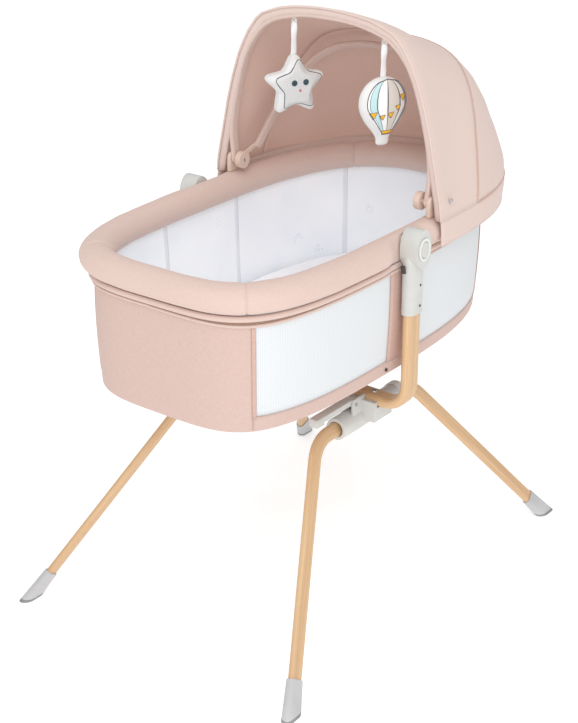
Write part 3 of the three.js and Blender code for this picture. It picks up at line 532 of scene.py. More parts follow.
def skin(name: str, rows: Rows, wrap: bool = False, closed: bool = False, capped: bool = False,
         inside: Optional[Vector] = None, sharp_deg: float = 50.0) -> bpy.types.Object:
    """Makes a surface through rows of points.

    Args:
        name: The piece's name.
        rows: Rows with equal numbers of points.
        wrap: Whether each row closes on itself.
        closed: Whether the last row joins the first.
        capped: Whether the open ends are filled.
        inside: A point that an open surface faces away from.
        sharp_deg: Edges that turn more than this stay sharp.

    Returns:
        The object.
    """
    lines = [[*row, row[0]] if wrap else list(row) for row in rows]
    if closed:
        lines.append(lines[0])
    bm = bmesh.new()
    grid = grow_grid(bm, lines)
    map_grid(bm, grid, lines)
    bmesh.ops.remove_doubles(bm, verts=bm.verts, dist=1e-7)
    if capped:
        bmesh.ops.holes_fill(bm, edges=bm.edges, sides=0)
    if inside is None:
        bmesh.ops.recalc_face_normals(bm, faces=bm.faces)
    else:
        facing = sum(f.normal.dot(f.calc_center_median() - inside) * f.calc_area() for f in bm.faces)
        if facing < 0:
            bmesh.ops.reverse_faces(bm, faces=bm.faces)
    return object_of(name, bm, sharp_deg)


def thicken(piece: bpy.types.Object, thickness: float, outward: bool = False, smooth: int = 0) -> bpy.types.Object:
    """Gives a surface a wall, and optionally a subdivision."""
    wall = piece.modifiers.new("wall", "SOLIDIFY")
    wall.thickness = thickness
    wall.offset = 1.0 if outward else -1.0
    wall.use_even_offset = False
    return rounded(piece, smooth) if smooth else piece


def rounded(piece: bpy.types.Object, levels: int = 1) -> bpy.types.Object:
    """Adds a subdivision surface."""
    modifier = piece.modifiers.new("round", "SUBSURF")
    modifier.levels = modifier.render_levels = levels
    return piece


def dress(piece: bpy.types.Object, body: str, finish: Finish, slot: str, *replaced: str) -> bpy.types.Object:
    """Gives a piece its finish and its body, and hides the frame nodes that it stands for."""
    piece.data.materials.clear()
    piece.data.materials.append(finish.make())
    if body:
        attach(piece, body)
    if replaced:
        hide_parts(*replaced)
    return piece


def show_node(node: str, finish: Finish) -> None:
    """Gives a frame node that stays in sight its finish."""
    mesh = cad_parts[node].data
    mesh.materials.clear()
    mesh.materials.append(finish.make())


def softened(node: str, radius: float, sharp_deg: float = 32.0) -> bpy.types.Object:
    """Copies a frame node and rounds its edges, as a mould would.

    Args:
        node: The frame node's name.
        radius: How far the rounding reaches from each edge.
        sharp_deg: Only edges that turn more than this are rounded.

    Returns:
        The copy.
    """
    bm = bmesh.new()
    bm.from_mesh(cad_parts[node].data)
    bmesh.ops.remove_doubles(bm, verts=bm.verts, dist=2e-6)
    bmesh.ops.dissolve_limit(bm, angle_limit=math.radians(0.8), verts=bm.verts, edges=bm.edges)
    edges = [e for e in bm.edges if e.is_manifold and e.calc_face_angle(0.0) > math.radians(sharp_deg)]
    bmesh.ops.bevel(bm, geom=edges, offset=radius, offset_type="OFFSET", segments=3, profile=0.5,
                    affect="EDGES", clamp_overlap=True, material=-1)
    bmesh.ops.recalc_face_normals(bm, faces=bm.faces)
    return object_of(f"{node}_moulding", bm, 38.0)


# ---------------------------------------------------------------- sweeps


def flat_oval(wide: float, thick: float, steps: int = 8) -> list[Vector]:
    """Returns a flat oval's outline, wide along its first way."""
    r = min(wide, thick) / 2
    dx, dy = wide / 2 - r, thick / 2 - r
    points = []
    for quarter, (x, y) in enumerate(((dx, dy), (-dx, dy), (-dx, -dy), (dx, -dy))):
        for i in range(steps + 1):
            angle = (quarter + i / steps) * math.pi / 2
            points.append(Vector((x + r * math.cos(angle), y + r * math.sin(angle))))
    return points


def sweep_rows(path: Sequence[Vector], side: Vector, section: Sequence[Vector]) -> list[list[Vector]]:
    """Carries a section along a path that lies in one plane.

    Args:
        path: The path's points.
        side: The plane's normal, which the section's second way follows.
        section: The section's outline.

    Returns:
        One row of points for each point of the path.
    """
    rows = []
    for i, point in enumerate(path):
        way = (path[min(i + 1, len(path) - 1)] - path[max(i - 1, 0)]).normalized()
        across = way.cross(side).normalized()
        rows.append([point + across * p.x + side * p.y for p in section])
    return rows


def bent_path(corners: Sequence[Vector], radius: float, steps: int = 14) -> list[Vector]:
    """Rounds every corner of a line of straights to one radius, with points along the straights too."""
    path = [corners[0].copy()]
    for before, corner, after in zip(corners, corners[1:], corners[2:]):
        way_in, way_out = (corner - before).normalized(), (after - corner).normalized()
        half = way_in.angle(way_out) / 2
        middle = corner + (way_out - way_in).normalized() * (radius / math.cos(half))
        start = corner - way_in * (radius * math.tan(half)) - middle
        axis = way_in.cross(way_out).normalized()
        turned = [middle + Matrix.Rotation(2 * half * k / steps, 3, axis) @ start for k in range(steps + 1)]
        path.extend(p for p in straight(path[-1], turned[0])[1:-1])
        path.extend(turned)
    path.extend(straight(path[-1], corners[-1])[1:])
    return path


def straight(start: Vector, end: Vector, step: float = 0.03) -> list[Vector]:
    """Returns points along a straight line, about a step apart, with both ends."""
    count = max(2, round((end - start).length / step) + 1)
    return [start.lerp(end, share) for share in spread(0.0, 1.0, count)]


def lathe(name: str, profile: Sequence[tuple[float, float]], middle: Vector, axis: Vector,
          steps: int = 40) -> bpy.types.Object:
    """Turns a closed or axis-ended profile round an axis.

    Args:
        name: The piece's name.
        profile: Pairs of radius and distance along the axis.
        middle: The point that the distances start from.
        axis: The axis's direction.
        steps: How many sides the piece has.

    Returns:
        The object.
    """
    bm = bmesh.new()
    line = [bm.verts.new((radius, 0, along)) for radius, along in profile]
    edges = [bm.edges.new(pair) for pair in zip(line, line[1:])]
    bmesh.ops.spin(bm, geom=[*line, *edges], cent=(0, 0, 0), axis=(0, 0, 1), angle=2 * math.pi, steps=steps,
                   use_merge=True, use_duplicate=False)
    bmesh.ops.remove_doubles(bm, verts=bm.verts, dist=1e-6)
    bmesh.ops.recalc_face_normals(bm, faces=bm.faces)
    turn = axis.to_track_quat("Z", "Y").to_matrix().to_4x4()
    bmesh.ops.transform(bm, matrix=Matrix.Translation(middle) @ turn, verts=bm.verts)
    return object_of(name, bm, 40.0)


# ---------------------------------------------------------------- padding by cloth simulation


def evaluated_points(piece: bpy.types.Object) -> list[Vector]:
    """Returns the piece's points as its modifiers leave them now."""
    shown = piece.evaluated_get(bpy.context.evaluated_depsgraph_get())
    return [v.co.copy() for v in shown.data.vertices]


def remesh(piece: bpy.types.Object, voxel: float) -> None:
    """Rebuilds the piece's mesh from voxels."""
    modifier = piece.modifiers.new("voxels", "REMESH")
    modifier.mode = "VOXEL"
    modifier.voxel_size = voxel
    modifier.use_smooth_shade = True
    shown = piece.evaluated_get(bpy.context.evaluated_depsgraph_get())
    mesh = bpy.data.meshes.new_from_object(shown)
    piece.modifiers.clear()
    piece.data = mesh


def stuff(piece: bpy.types.Object, voxel: float, cap: float, pressure: float = 4.0, frames: int = 20) -> None:
    """Swells a piece with a short cloth simulation, as filling does, and keeps the result.

    Args:
        piece: The piece, which is remeshed.
        voxel: The remeshed cloth's point spacing.
        cap: The furthest that any point may move.
        pressure: The filling's pressure.
        frames: How many frames are simulated.
    """
    remesh(piece, voxel)
    rest = [v.co.copy() for v in piece.data.vertices]
    cloth = piece.modifiers.new("filling", "CLOTH")
    settings = cloth.settings
    settings.use_pressure = True
    settings.uniform_pressure_force = pressure
    settings.tension_stiffness = settings.compression_stiffness = 20.0
    settings.bending_stiffness = 1.5
    settings.mass = 0.25
    settings.effector_weights.gravity = 0.0
    cloth.point_cache.frame_end = frames
    scene = bpy.context.scene
    for step in range(1, frames + 1):
        scene.frame_set(step)
    swollen = evaluated_points(piece)
    piece.modifiers.clear()
    scene.frame_set(1)
    for vertex, before, after in zip(piece.data.vertices, rest, swollen):
        move = after - before
        if move.length > cap:
            move = move.normalized() * cap
        vertex.co = before + move
    piece.data.update()


# ---------------------------------------------------------------- the basket's plan


@dataclass(frozen=True)
class Plan:
    """The basket seen from above: a long rounded outline, squarer at the foot than at the head."""

    x: float
    foot: float
    head: float
    half: float
    foot_power: float = 3.9
    head_power: float = 2.75
    post_x: float = 0.0

    def point(self, angle: float, offset: float, z: float) -> Vector:
        """Returns the point at an angle round the plan, moved outwards, at a height."""
        c, s = math.cos(angle), math.sin(angle)
        reach = (self.foot if c < 0 else self.head) + offset
        power = 2 / (self.foot_power if c < 0 else self.head_power)
        across = math.copysign((self.half + offset) * abs(s) ** power, s)
        return Vector((self.x + math.copysign(reach * abs(c) ** power, c), across, z))

    def even(self, start: float, end: float, count: int) -> list[float]:
        """Returns angles whose points lie evenly along the outline."""
        fine = spread(start, end, 1600)
        run = lengths([self.point(a, 0, 0) for a in fine])
        made, k = [], 0
        for i in range(count):
            want = run[-1] * i / (count - 1)
            while k < len(run) - 2 and run[k + 1] < want:
                k += 1
            step = run[k + 1] - run[k]
            made.append(mix(fine[k], fine[k + 1], (want - run[k]) / step if step else 0.0))
        return made

    def angle_at_x(self, x: float, side: int) -> float:
        """Returns the angle of the point with some X on one long side."""
        c = (x - self.x) / (self.foot if x < self.x else self.head)
        power = (self.foot_power if x < self.x else self.head_power) / 2
        level = math.copysign(abs(c) ** power, c)
        return side * math.acos(max(-1.0, min(1.0, level)))


@dataclass(frozen=True)
class BasketSizes:
    """The basket's own sizes that the frame's boxes don't give."""

    rim_wide: float = 26 * MM
    rim_tall: float = 25.5 * MM
    foot_share: float = 397 / 817  # of the rim's length, from the middle that both ends are drawn from
    foot_seam: float = math.radians(144.0)  # the corner seams between the end cloths and the sides
    head_seam: float = math.radians(42.0)
    rim_foot_seam: float = math.radians(146.7)
    rim_head_seam: float = math.radians(34.3)
    corner: float = 12 * MM
    base_in: float = -2 * MM
    top_out: float = 4 * MM
    bulge: float = 2.6 * MM
    border: float = 31 * MM
    strip_half: float = 38 * MM
    pressed: float = 224.3 * MM  # the furthest from the middle that cloth may reach beside a post


SIZES = BasketSizes()


def basket_plan() -> Plan:
    """Returns the plan of the rim's centre line from the frame's padding."""
    low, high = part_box("rim_padding")
    span = high.x - low.x - 2 * SIZES.rim_wide
    foot = span * SIZES.foot_share
    return Plan(low.x + SIZES.rim_wide + foot, foot, span - foot, high.y - SIZES.rim_wide,
                post_x=centre("rocking_frame_tube").x)


PLAN = basket_plan()
BASE_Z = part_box("basket_body")[0].z
WALL_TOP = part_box("basket_body")[1].z
RIM_Z = centre("rim_padding").z


def beside_post(point: Vector, spare: float = 0.0) -> Vector:
    """Presses a point in where it lies beside a post, so that the basket swings free of the heads."""
    near = 1 - smooth_step(0.040, 0.066, abs(point.x - PLAN.post_x))
    limit = SIZES.pressed - spare
    if abs(point.y) > limit:
        point.y = mix(point.y, math.copysign(limit, point.y), near)
    return point


# ---------------------------------------------------------------- the basket


@dataclass
class Rim:
    """The padded rim, its seams, and the two lips of the zip under it."""

    stations: int = 200
    around: int = 28
    lip_z: float = 657.5 * MM

    def angles(self) -> list[float]:
        """Returns the stations round the plan, with close ones at the seams."""
        seams = [s * a for s in (-1, 1) for a in (SIZES.rim_foot_seam, SIZES.rim_head_seam)]
        close = [seam + d for seam in seams for d in (-0.016, -0.006, 0.0, 0.006, 0.016)]
        even = [a for a in PLAN.even(-math.pi, math.pi, self.stations)[:-1]
                if all(abs(a - c) > 0.008 for c in close)]
        return sorted([*even, *close])

    def section(self, angle: float) -> list[Vector]:
        """Returns one section of the padding, gathered a little where a seam crosses it."""
        seams = [s * a for s in (-1, 1) for a in (SIZES.rim_foot_seam, SIZES.rim_head_seam)]
        pinch = sum(0.085 * bump_at(angle, s, 0.008) + 0.018 * bump_at(angle, s, 0.06) for s in seams)
        row = []
        for turn in spread(0, 2 * math.pi, self.around + 1)[:-1]:
            c, s = math.cos(turn), math.sin(turn)
            lump = 0.9 * MM * noise.noise(Vector((9 * math.cos(angle), 9 * math.sin(angle), 2 * turn)))
            reach = 1 - pinch + lump / SIZES.rim_wide
            row.append(beside_post(PLAN.point(angle, SIZES.rim_wide * c * reach, RIM_Z + SIZES.rim_tall * s * reach),
                                   1.5 * MM))
        return row

    def bead(self, name: str, out: Callable[[float], float], height: Callable[[float], float], wide: float,
             tall: float) -> bpy.types.Object:
        """Makes a bead of cloth round the basket from its distance out and its height at each angle."""
        rows = []
        for angle in PLAN.even(-math.pi, math.pi, 181)[:-1]:
            o, z = out(angle), height(angle)
            rows.append([beside_post(PLAN.point(angle, o + wide * math.cos(t), z + tall * math.sin(t)))
                         for t in spread(0, 2 * math.pi, 11)[:-1]])
        return skin(name, rows, wrap=True, closed=True)

    def gape(self, angle: float) -> float:
        """Returns how far the zip hangs open: most at the near foot corner, hardly at the head."""
        corner = bump_at(angle, -SIZES.foot_seam, 0.55) + 0.4 * bump_at(angle, SIZES.foot_seam, 0.5)
        return mix(2.0, 6.5, min(1.0, corner)) * MM

    def build(self) -> None:
        """Makes the padding, the lips and the zip's tape."""
        cover = skin("rim_cover", [self.section(a) for a in self.angles()], wrap=True, closed=True)
        rounded(cover)
        dress(cover, "basket", SOFT_CLOTH, "pink_cloth", "rim_padding", "zip_band")
        upper = self.bead("zip_upper_lip", lambda a: 8.5 * MM, lambda a: self.lip_z, 5.0 * MM, 5.2 * MM)
        dress(upper, "basket", SOFT_CLOTH, "pink_cloth")
        low = self.lip_z - 5.0 * MM
        tape = self.bead("zip_tape", lambda a: 5.6 * MM, lambda a: low - self.gape(a) / 2, 1.6 * MM, 5.5 * MM)
        dress(tape, "basket", ZIP_TAPE, "pink_cloth")
        under = self.bead("zip_lower_lip", lambda a: 6.6 * MM, lambda a: low - self.gape(a) - 2.2 * MM,
                          2.9 * MM, 2.6 * MM)
        dress(under, "basket", SOFT_CLOTH, "pink_cloth")


@dataclass
class Walls:
    """The basket's cloth: two end panels, and on each side a border, a strip beside the post and two nets."""

    cloth: float = 1.4 * MM
    window_low: float = 27 * MM
    foot_fill: float = 4 * MM  # the foot end's cloth stands fuller at its base than the sides do

    def profile(self, z: float, angle: float) -> float:
        """Returns how far out the wall stands at a height and an angle."""
        fill = self.foot_fill * smooth_step(0.5, 0.95, -math.cos(angle)) * (1 - (z - BASE_Z) / (WALL_TOP - BASE_Z))
        return fill + self.upright(z)

    def upright(self, z: float) -> float:
        """Returns how far out a long side stands at a height."""
        foot = BASE_Z + SIZES.corner
        if z < foot:
            down = (foot - z) / SIZES.corner
            return SIZES.base_in - SIZES.corner * (1 - math.sqrt(max(0.0, 1 - down * down)))
        share = (z - foot) / (WALL_TOP - foot)
        return mix(SIZES.base_in, SIZES.top_out, share) + SIZES.bulge * math.sin(math.pi * share)

    def heights(self, low: float, high: float, count: int) -> list[float]:
        """Returns heights from low to high, closer together round the bottom corner."""
        knee = BASE_Z + SIZES.corner
        if low >= knee:
            return spread(low, high, count)
        curve = [knee - SIZES.corner * math.cos(t) for t in spread(0, math.pi / 2, 7)]
        return [*(z for z in curve if low <= z < knee - 1e-6), *spread(knee, high, count)]

    def panel(self, name: str, angles: Sequence[float], low: float, high: Callable[[float], float], lift: float,
              count: int = 12) -> bpy.types.Object:
        """Makes one piece of wall cloth.

        Args:
            name: The piece's name.
            angles: The stations round the plan.
            low: The height of its lower edge.
            high: Gives the height of its upper edge at an angle.
            lift: How far it lies proud of the wall.
            count: How many rows it has above the bottom corner.

        Returns:
            The piece, one cloth thick.
        """
        columns = [[beside_post(PLAN.point(a, self.profile(z, a) + lift, z)) for z in self.heights(low, high(a), count)]
                   for a in angles]
        return thicken(skin(name, columns, inside=Vector((PLAN.x, 0, RIM_Z))), self.cloth)

    def panel_area(self, angles: Sequence[float], tall: float) -> tuple[float, float]:
        """Returns a panel's flat length round the plan and its height."""
        return lengths([PLAN.point(a, 0, 0) for a in angles])[-1], tall

    def ends(self) -> None:
        """Makes the two end panels and the flat cloth under the base."""
        tall = WALL_TOP - BASE_Z + 5 * MM
        whole = PLAN.even(SIZES.foot_seam, 2 * math.pi - SIZES.foot_seam, 70)
        foot = self.panel("foot_end_cloth", whole, BASE_Z, lambda a: WALL_TOP, 0.0)
        dress(foot, "basket", PANEL_CLOTH, "pink_cloth", "basket_body")
        self.panel_area(whole, tall)
        whole = PLAN.even(-SIZES.head_seam, SIZES.head_seam, 70)
        head = self.panel("head_end_cloth", whole, BASE_Z, lambda a: WALL_TOP, 0.0)
        dress(head, "basket", PANEL_CLOTH, "pink_cloth")
        self.panel_area(whole, tall)
        loops = [[self.shrunk(a, self.profile(BASE_Z, a), share) for a in PLAN.even(-math.pi, math.pi, 121)[:-1]]
                 for share in (1.0, 0.97, 0.8, 0.5, 0.2, 0.01)]
        base = thicken(skin("base_cloth", loops, wrap=True, capped=True, inside=Vector((PLAN.x, 0, RIM_Z))), self.cloth)
        dress(base, "basket", UNDERSIDE, "pink_cloth")

    def shrunk(self, angle: float, offset: float, share: float) -> Vector:
        """Returns a point of the base, drawn in towards its middle."""
        point = PLAN.point(angle, offset, BASE_Z)
        middle = Vector((PLAN.x, 0, BASE_Z))
        return middle.lerp(point, share)

    def side(self, name: str, side: int) -> None:
        """Makes one long side: nets first, then the border, the strip and the bindings that frame them."""
        start, end = side * SIZES.foot_seam, side * SIZES.head_seam
        post = [PLAN.angle_at_x(PLAN.post_x + e * (SIZES.strip_half - 2 * MM), side) for e in (-1, 1)]
        low = BASE_Z + self.window_low
        for place, a, b in (("foot", start, post[0]), ("head", post[1], end)):
            angles = PLAN.even(a, b, 40)
            net = self.panel(f"{name}_{place}_net", angles, low, lambda _: WALL_TOP - 2 * MM, -0.9 * MM)
            dress(net, "basket", NET, "white_cloth")
            self.panel_area(angles, WALL_TOP - low)
        whole = PLAN.even(start, end, 110)
        border = self.panel(f"{name}_border", whole, BASE_Z, self.border_top, 0.3 * MM, 4)
        dress(border, "basket", PANEL_CLOTH, "pink_cloth")
        strip = self.panel(f"{name}_post_strip", PLAN.even(*self.post_span(side), 9), low, lambda _: WALL_TOP, 0.6 * MM)
        dress(strip, "basket", BINDING, "pink_cloth")
        for place, angle, inward in (("foot", start, -1), ("head", end, 1)):
            self.binding(f"{name}_{place}_binding", angle, side * inward, low)

    def post_span(self, side: int) -> tuple[float, float]:
        """Returns the angles at the edges of the strip beside a post."""
        edges = [PLAN.angle_at_x(PLAN.post_x + e * SIZES.strip_half, side) for e in (-1, 1)]
        return edges[0], edges[1]

    def border_top(self, angle: float) -> float:
        """Returns the border's upper edge, which curves up to the binding at the head end."""
        near_end = 1 - smooth_step(0.0, 0.16, abs(angle) - SIZES.head_seam)
        return BASE_Z + SIZES.border + 34 * MM * near_end**2

    def binding(self, name: str, angle: float, way: int, low: float) -> None:
        """Makes the tape over the seam between an end cloth and a net."""
        reach = 0.011 if abs(angle) < math.pi / 2 else 0.014
        angles = PLAN.even(angle - way * 0.006, angle + way * reach * 2.2, 5)
        tape = self.panel(name, angles, low, lambda _: WALL_TOP, 0.9 * MM)
        dress(tape, "basket", BINDING, "pink_cloth")

    def build(self) -> None:
        """Makes every wall piece."""
        self.ends()
        for name, side in SIDES:
            self.side(name, side)


@dataclass
class Lining:
    """The white inner cloth with its taped seams."""

    inset: float = 6.0 * MM
    tape_half: float = 5 * MM
    seams: tuple[float, ...] = (38.7, 84.5, 96.5, 141.0)

    def point(self, angle: float, z: float, lift: float = 0.0) -> Vector:
        """Returns a point of the lining."""
        share = (z - BASE_Z) / (WALL_TOP - BASE_Z)
        soft = 1.2 * MM * noise.noise(Vector((5 * math.cos(angle), 5 * math.sin(angle), 7 * z)))
        return PLAN.point(angle, mix(SIZES.base_in, SIZES.top_out, share) - self.inset - lift + soft, z)

    def build(self) -> None:
        """Makes the lining and its tapes."""
        low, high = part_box("mattress")[0].z + 6 * MM, RIM_Z - 20 * MM
        heights = spread(low, high, 12)
        angles = PLAN.even(-math.pi, math.pi, 161)[:-1]
        rows = [[self.point(a, z) for a in angles] for z in heights]
        cloth = thicken(skin("lining", rows, wrap=True, inside=Vector((PLAN.x, 0, RIM_Z))), 1.0 * MM)
        dress(cloth, "basket", LINING, "white_cloth")
        around = lengths([PLAN.point(a, 0, 0) for a in [*angles, angles[0]]])[-1]
        for i, degrees in enumerate(self.seams):
            for name, side in SIDES:
                self.tape(f"{name}_lining_tape_{i}", side * math.radians(degrees), heights)

    def tape(self, name: str, angle: float, heights: Sequence[float]) -> None:
        """Makes one tape down a seam of the lining."""
        step = self.tape_half / (PLAN.point(angle + 0.01, 0, 0) - PLAN.point(angle - 0.01, 0, 0)).length * 0.02
        angles = spread(angle - step, angle + step, 5)
        rows = [[self.point(a, z, 1.1 * MM) for a in angles] for z in heights]
        tape = thicken(skin(name, rows, inside=Vector((PLAN.x, 0, RIM_Z))), 0.6 * MM)
        dress(tape, "basket", LINING_TAPE, "white_cloth")


@dataclass
class Mattress:
    """A thin foam mattress in a printed cotton cover."""

    voxel: float = 6 * MM
    cap: float = 5 * MM
    crown: float = 3 * MM

    def build(self) -> None:
        """Makes the mattress from loops round its plan, and swells it."""
        low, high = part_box("mattress")
        inset = PLAN.half - high.y
        tall = high.z - low.z
        levels = [(4.0, 0.02, 0.5), (1.5, 0.0, 0.85), (1.5, 0.2, 1.0), (1.5, 0.78, 1.0), (4.0, 0.93, 0.995),
                  (12.0, 0.97, 0.985)]
        angles = PLAN.even(-math.pi, math.pi, 141)[:-1]
        rows = []
        for edge, height, share in levels:
            z = low.z + 1.5 * MM + height * (tall - 4 * MM)
            rows.append([Vector((PLAN.x, 0, z)).lerp(PLAN.point(a, -inset - edge * MM, z), share) for a in angles])
        rows.append([Vector((PLAN.x, 0, high.z - self.crown)).lerp(p, 0.6) for p in rows[-1]])
        pad = skin("mattress_cover", rows, wrap=True, capped=True)
        stuff(pad, self.voxel, self.cap)
        rounded(pad)
        dress(pad, "basket", MATTRESS, "white_cloth", "mattress")


# ---------------------------------------------------------------- the hood


@dataclass
class Hood:
    """The hood's cloth over its two bows, with the skirt that covers the rim behind the posts."""

    cloth: float = 1.6 * MM
    power: float = 2.6
    columns: int = 61
    seam_foot_x: float = 118.5 * MM  # from the axis, at the hem's height
    seam_lean: float = math.radians(75.0)
    sag: float = 9 * MM
    flare_side: float = 3 * MM  # how far the gathered hem stands out past the panels
    flare_back: float = 17 * MM
    levels: tuple[tuple[float, float, float], ...] = (
        (-73, 1.0, 1.0), (0, 0.965, 0.997), (61, 0.922, 0.957), (111, 0.882, 0.891), (161, 0.828, 0.789),
        (207, 0.765, 0.632), (246, 0.686, 0.424), (280, 0.58, 0.241), (299, 0.376, 0.099), (308, 0.0, 0.0))

    def __post_init__(self) -> None:
        """Takes the hood's reach from the frame."""
        low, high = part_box("hood_front_cloth")
        self.front_x = low.x
        self.top_z = high.z
        self.low_z = low.z
        self.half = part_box("hood_rear_cloth")[1].y
        self.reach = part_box("hood_rear_cloth")[1].x - self.front_x
        self.axis = centre("near_hood_knob")
        self.hem_z = self.axis.z - 27 * MM

    def size_at(self, z: float) -> tuple[float, float]:
        """Returns the hood's half width and its reach behind the front edge at a height."""
        up = (z - self.axis.z) / MM
        i = max(k for k in range(len(self.levels) - 1) if self.levels[k][0] <= max(up, -73))
        (low, w0, l0), (high, w1, l1) = self.levels[i], self.levels[i + 1]
        share = min(1.0, max(0.0, (up - low) / (high - low)))
        wide = math.sqrt(mix(w0**2, w1**2, share))
        flare = (1 - smooth_step(-15, 95, up)) * mix(0.35, 1.0, smooth_step(-73, -35, up))
        back = self.reach * math.sqrt(mix(l0**2, l1**2, share))
        return self.half * wide + self.flare_side * flare, back + self.flare_back * flare

    def outside(self, point: Vector) -> bool:
        """Says whether a point lies outside the cloth's surface."""
        if point.z >= self.top_z:
            return True
        half, reach = self.size_at(point.z)
        back = max(0.0, point.x - self.front_x) / max(reach, 1e-6)
        return back**self.power + (abs(point.y) / max(half, 1e-6)) ** self.power > 1

    def cast(self, start: Vector, way: Vector) -> Vector:
        """Returns where a line from inside the hood meets the cloth."""
        low, high = 0.0, 0.6
        for _ in range(26):
            middle = (low + high) / 2
            low, high = (low, middle) if self.outside(start + way * middle) else (middle, high)
        return start + way * low

    def rib(self, x: float, lean: float, sag: float = 0.0) -> list[Vector]:
        """Returns the cloth's line from the near hem to the far hem in a plane that leans back.

        Args:
            x: Where the plane crosses the hem's height, from the front edge.
            lean: The plane's angle from level.
            sag: How far the cloth sinks in at the middle of the rib.

        Returns:
            Evenly spaced points.
        """
        foot = Vector((self.front_x + x, 0, self.hem_z))
        up = Vector((math.cos(lean), 0, math.sin(lean)))
        line = []
        for turn in spread(-math.pi / 2, math.pi / 2, 121):
            way = up * math.cos(turn) + Vector((0, math.sin(turn), 0))
            point = self.cast(foot, way)
            line.append(point - way * sag * math.cos(turn) ** 0.5)
        return resampled(line, self.columns)

    def front_rows(self) -> list[list[Vector]]:
        """Returns the ribs from the front edge to the seam over the middle bow."""
        end_x = self.seam_foot_x + (self.axis.x - self.front_x)
        rows = []
        for share in spread(0.0, 1.0, 15):
            lean = mix(math.pi / 2, self.seam_lean, share)
            rows.append(self.rib(end_x * share, lean, self.sag * math.sin(math.pi * share) ** 1.5))
        return rows

    def rear_rows(self) -> list[list[Vector]]:
        """Returns the ribs from the seam back and down to the skirt."""
        start_x = self.seam_foot_x + (self.axis.x - self.front_x)
        return [self.rib(mix(start_x, start_x + 110 * MM, share), mix(self.seam_lean, 0.0, share))
                for share in spread(0.0, 1.0, 23)]

    def skirt_rows(self) -> list[list[Vector]]:
        """Returns the rows of the band that goes round the rim, from its top down."""
        rows = []
        for z in spread(self.hem_z, self.low_z + 2 * MM, 9):
            half, reach = self.size_at(z)
            row = []
            for turn in spread(-math.pi / 2, math.pi / 2, 121):
                c, s = abs(math.cos(turn)) ** (2 / self.power), abs(math.sin(turn)) ** (2 / self.power)
                row.append(Vector((self.front_x + reach * c, math.copysign(half * s, turn), z)))
            rows.append(resampled(row, 101))
        return rows

    def hem_rows(self, edge: Sequence[Vector]) -> list[list[Vector]]:
        """Returns the rows of the hem that turns in from the front edge and covers the front bow."""
        low = Vector((0, 0, self.axis.z))
        turned = []
        for depth, back in ((0.0, 0.4), (5.0, -0.6), (10.0, -0.4), (14.0, 2.0), (15.0, 6.0)):
            row = []
            for point in edge:
                inward = Vector((0, -point.y, low.z - point.z)).normalized()
                row.append(point + inward * depth * MM + Vector((back * MM, 0, 0)))
            turned.append(row)
        return turned

    def build(self) -> None:
        """Makes the panels, the skirt, the seams, the hem and the snaps."""
        inside = Vector((self.axis.x + 60 * MM, 0, self.axis.z + 40 * MM))
        front, rear = self.front_rows(), self.rear_rows()
        seam_x = front[-1][self.columns // 2]
        piece = thicken(skin("hood_front_panel", front, inside=inside), self.cloth)
        self.declare(piece, front, "hood_front_cloth")
        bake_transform(piece)
        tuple(seam_x)
        piece = thicken(skin("hood_rear_panel", rear, inside=inside), self.cloth)
        self.declare(piece, rear, "hood_rear_cloth")
        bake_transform(piece)
        skirt = self.skirt_rows()
        piece = thicken(skin("hood_skirt", skirt, inside=inside), self.cloth)
        dress(piece, "basket", HOOD_CLOTH, "pink_cloth")
        lengths(skirt[0])[-1]
        lengths([r[0] for r in skirt])[-1]
        self.trim(front, skirt)

    def declare(self, piece: bpy.types.Object, rows: Rows, node: str) -> None:
        """Dresses a hood panel, with a darker copy of the hood cloth on its inner face as painted shade."""
        dress(piece, "", HOOD_CLOTH, "pink_cloth", node)
        piece.data.materials.append(HOOD_INSIDE_SHADED.make())
        piece.modifiers["wall"].material_offset = 1
        width = max(lengths(row)[-1] for row in rows)
        length = max(lengths([row[j] for row in rows])[-1] for j in range(0, self.columns, 10))

    def trim(self, front: Rows, skirt: Rows) -> None:
        """Makes the seam cords, the front hem and the two snaps."""
        seam = piping("hood_panel_seam", [p.copy() for p in front[-1]], 1.5 * MM)
        dress(seam, "hood_mid", BINDING, "pink_cloth")
        back = [p for p in skirt[0] if p.x > self.axis.x + 112 * MM]
        dress(piping("hood_skirt_seam", back, 1.4 * MM), "basket", BINDING, "pink_cloth")
        hem = [p + Vector((-1.0 * MM, 0, 0)) for p in front[0]]
        dress(piping("hood_front_hem", hem, 2.0 * MM), "hood_front", HOOD_CLOTH, "pink_cloth")
        behind = Vector((1, 0, self.axis.z))
        band = thicken(skin("hood_front_hem_band", self.hem_rows(front[0]), inside=behind), 0.8 * MM)
        dress(band, "hood_front", HOOD_CLOTH, "pink_cloth")
        for name, side in SIDES:
            out = side * (self.size_at(self.axis.z)[0] + 1 * MM)
            place = Vector((self.axis.x + 24 * MM, out, self.axis.z + 2 * MM))
            snap = lathe(f"{name}_hood_snap", [(0, 2.2 * MM), (2.4 * MM, 2.1 * MM), (4 * MM, 1.2 * MM), (4.4 * MM, 0)],
                         place, Vector((0, side, 0)), 24)
            dress(snap, "basket", STEEL, "steel")


def resampled(line: Sequence[Vector], count: int) -> list[Vector]:
    """Returns evenly spaced points along a line."""
    run = lengths(line)
    made, k = [], 0
    for i in range(count):
        want = run[-1] * i / (count - 1)
        while k < len(run) - 2 and run[k + 1] < want:
            k += 1
        step = run[k + 1] - run[k]
        made.append(line[k].lerp(line[k + 1], (want - run[k]) / step if step else 0.0))
    return made


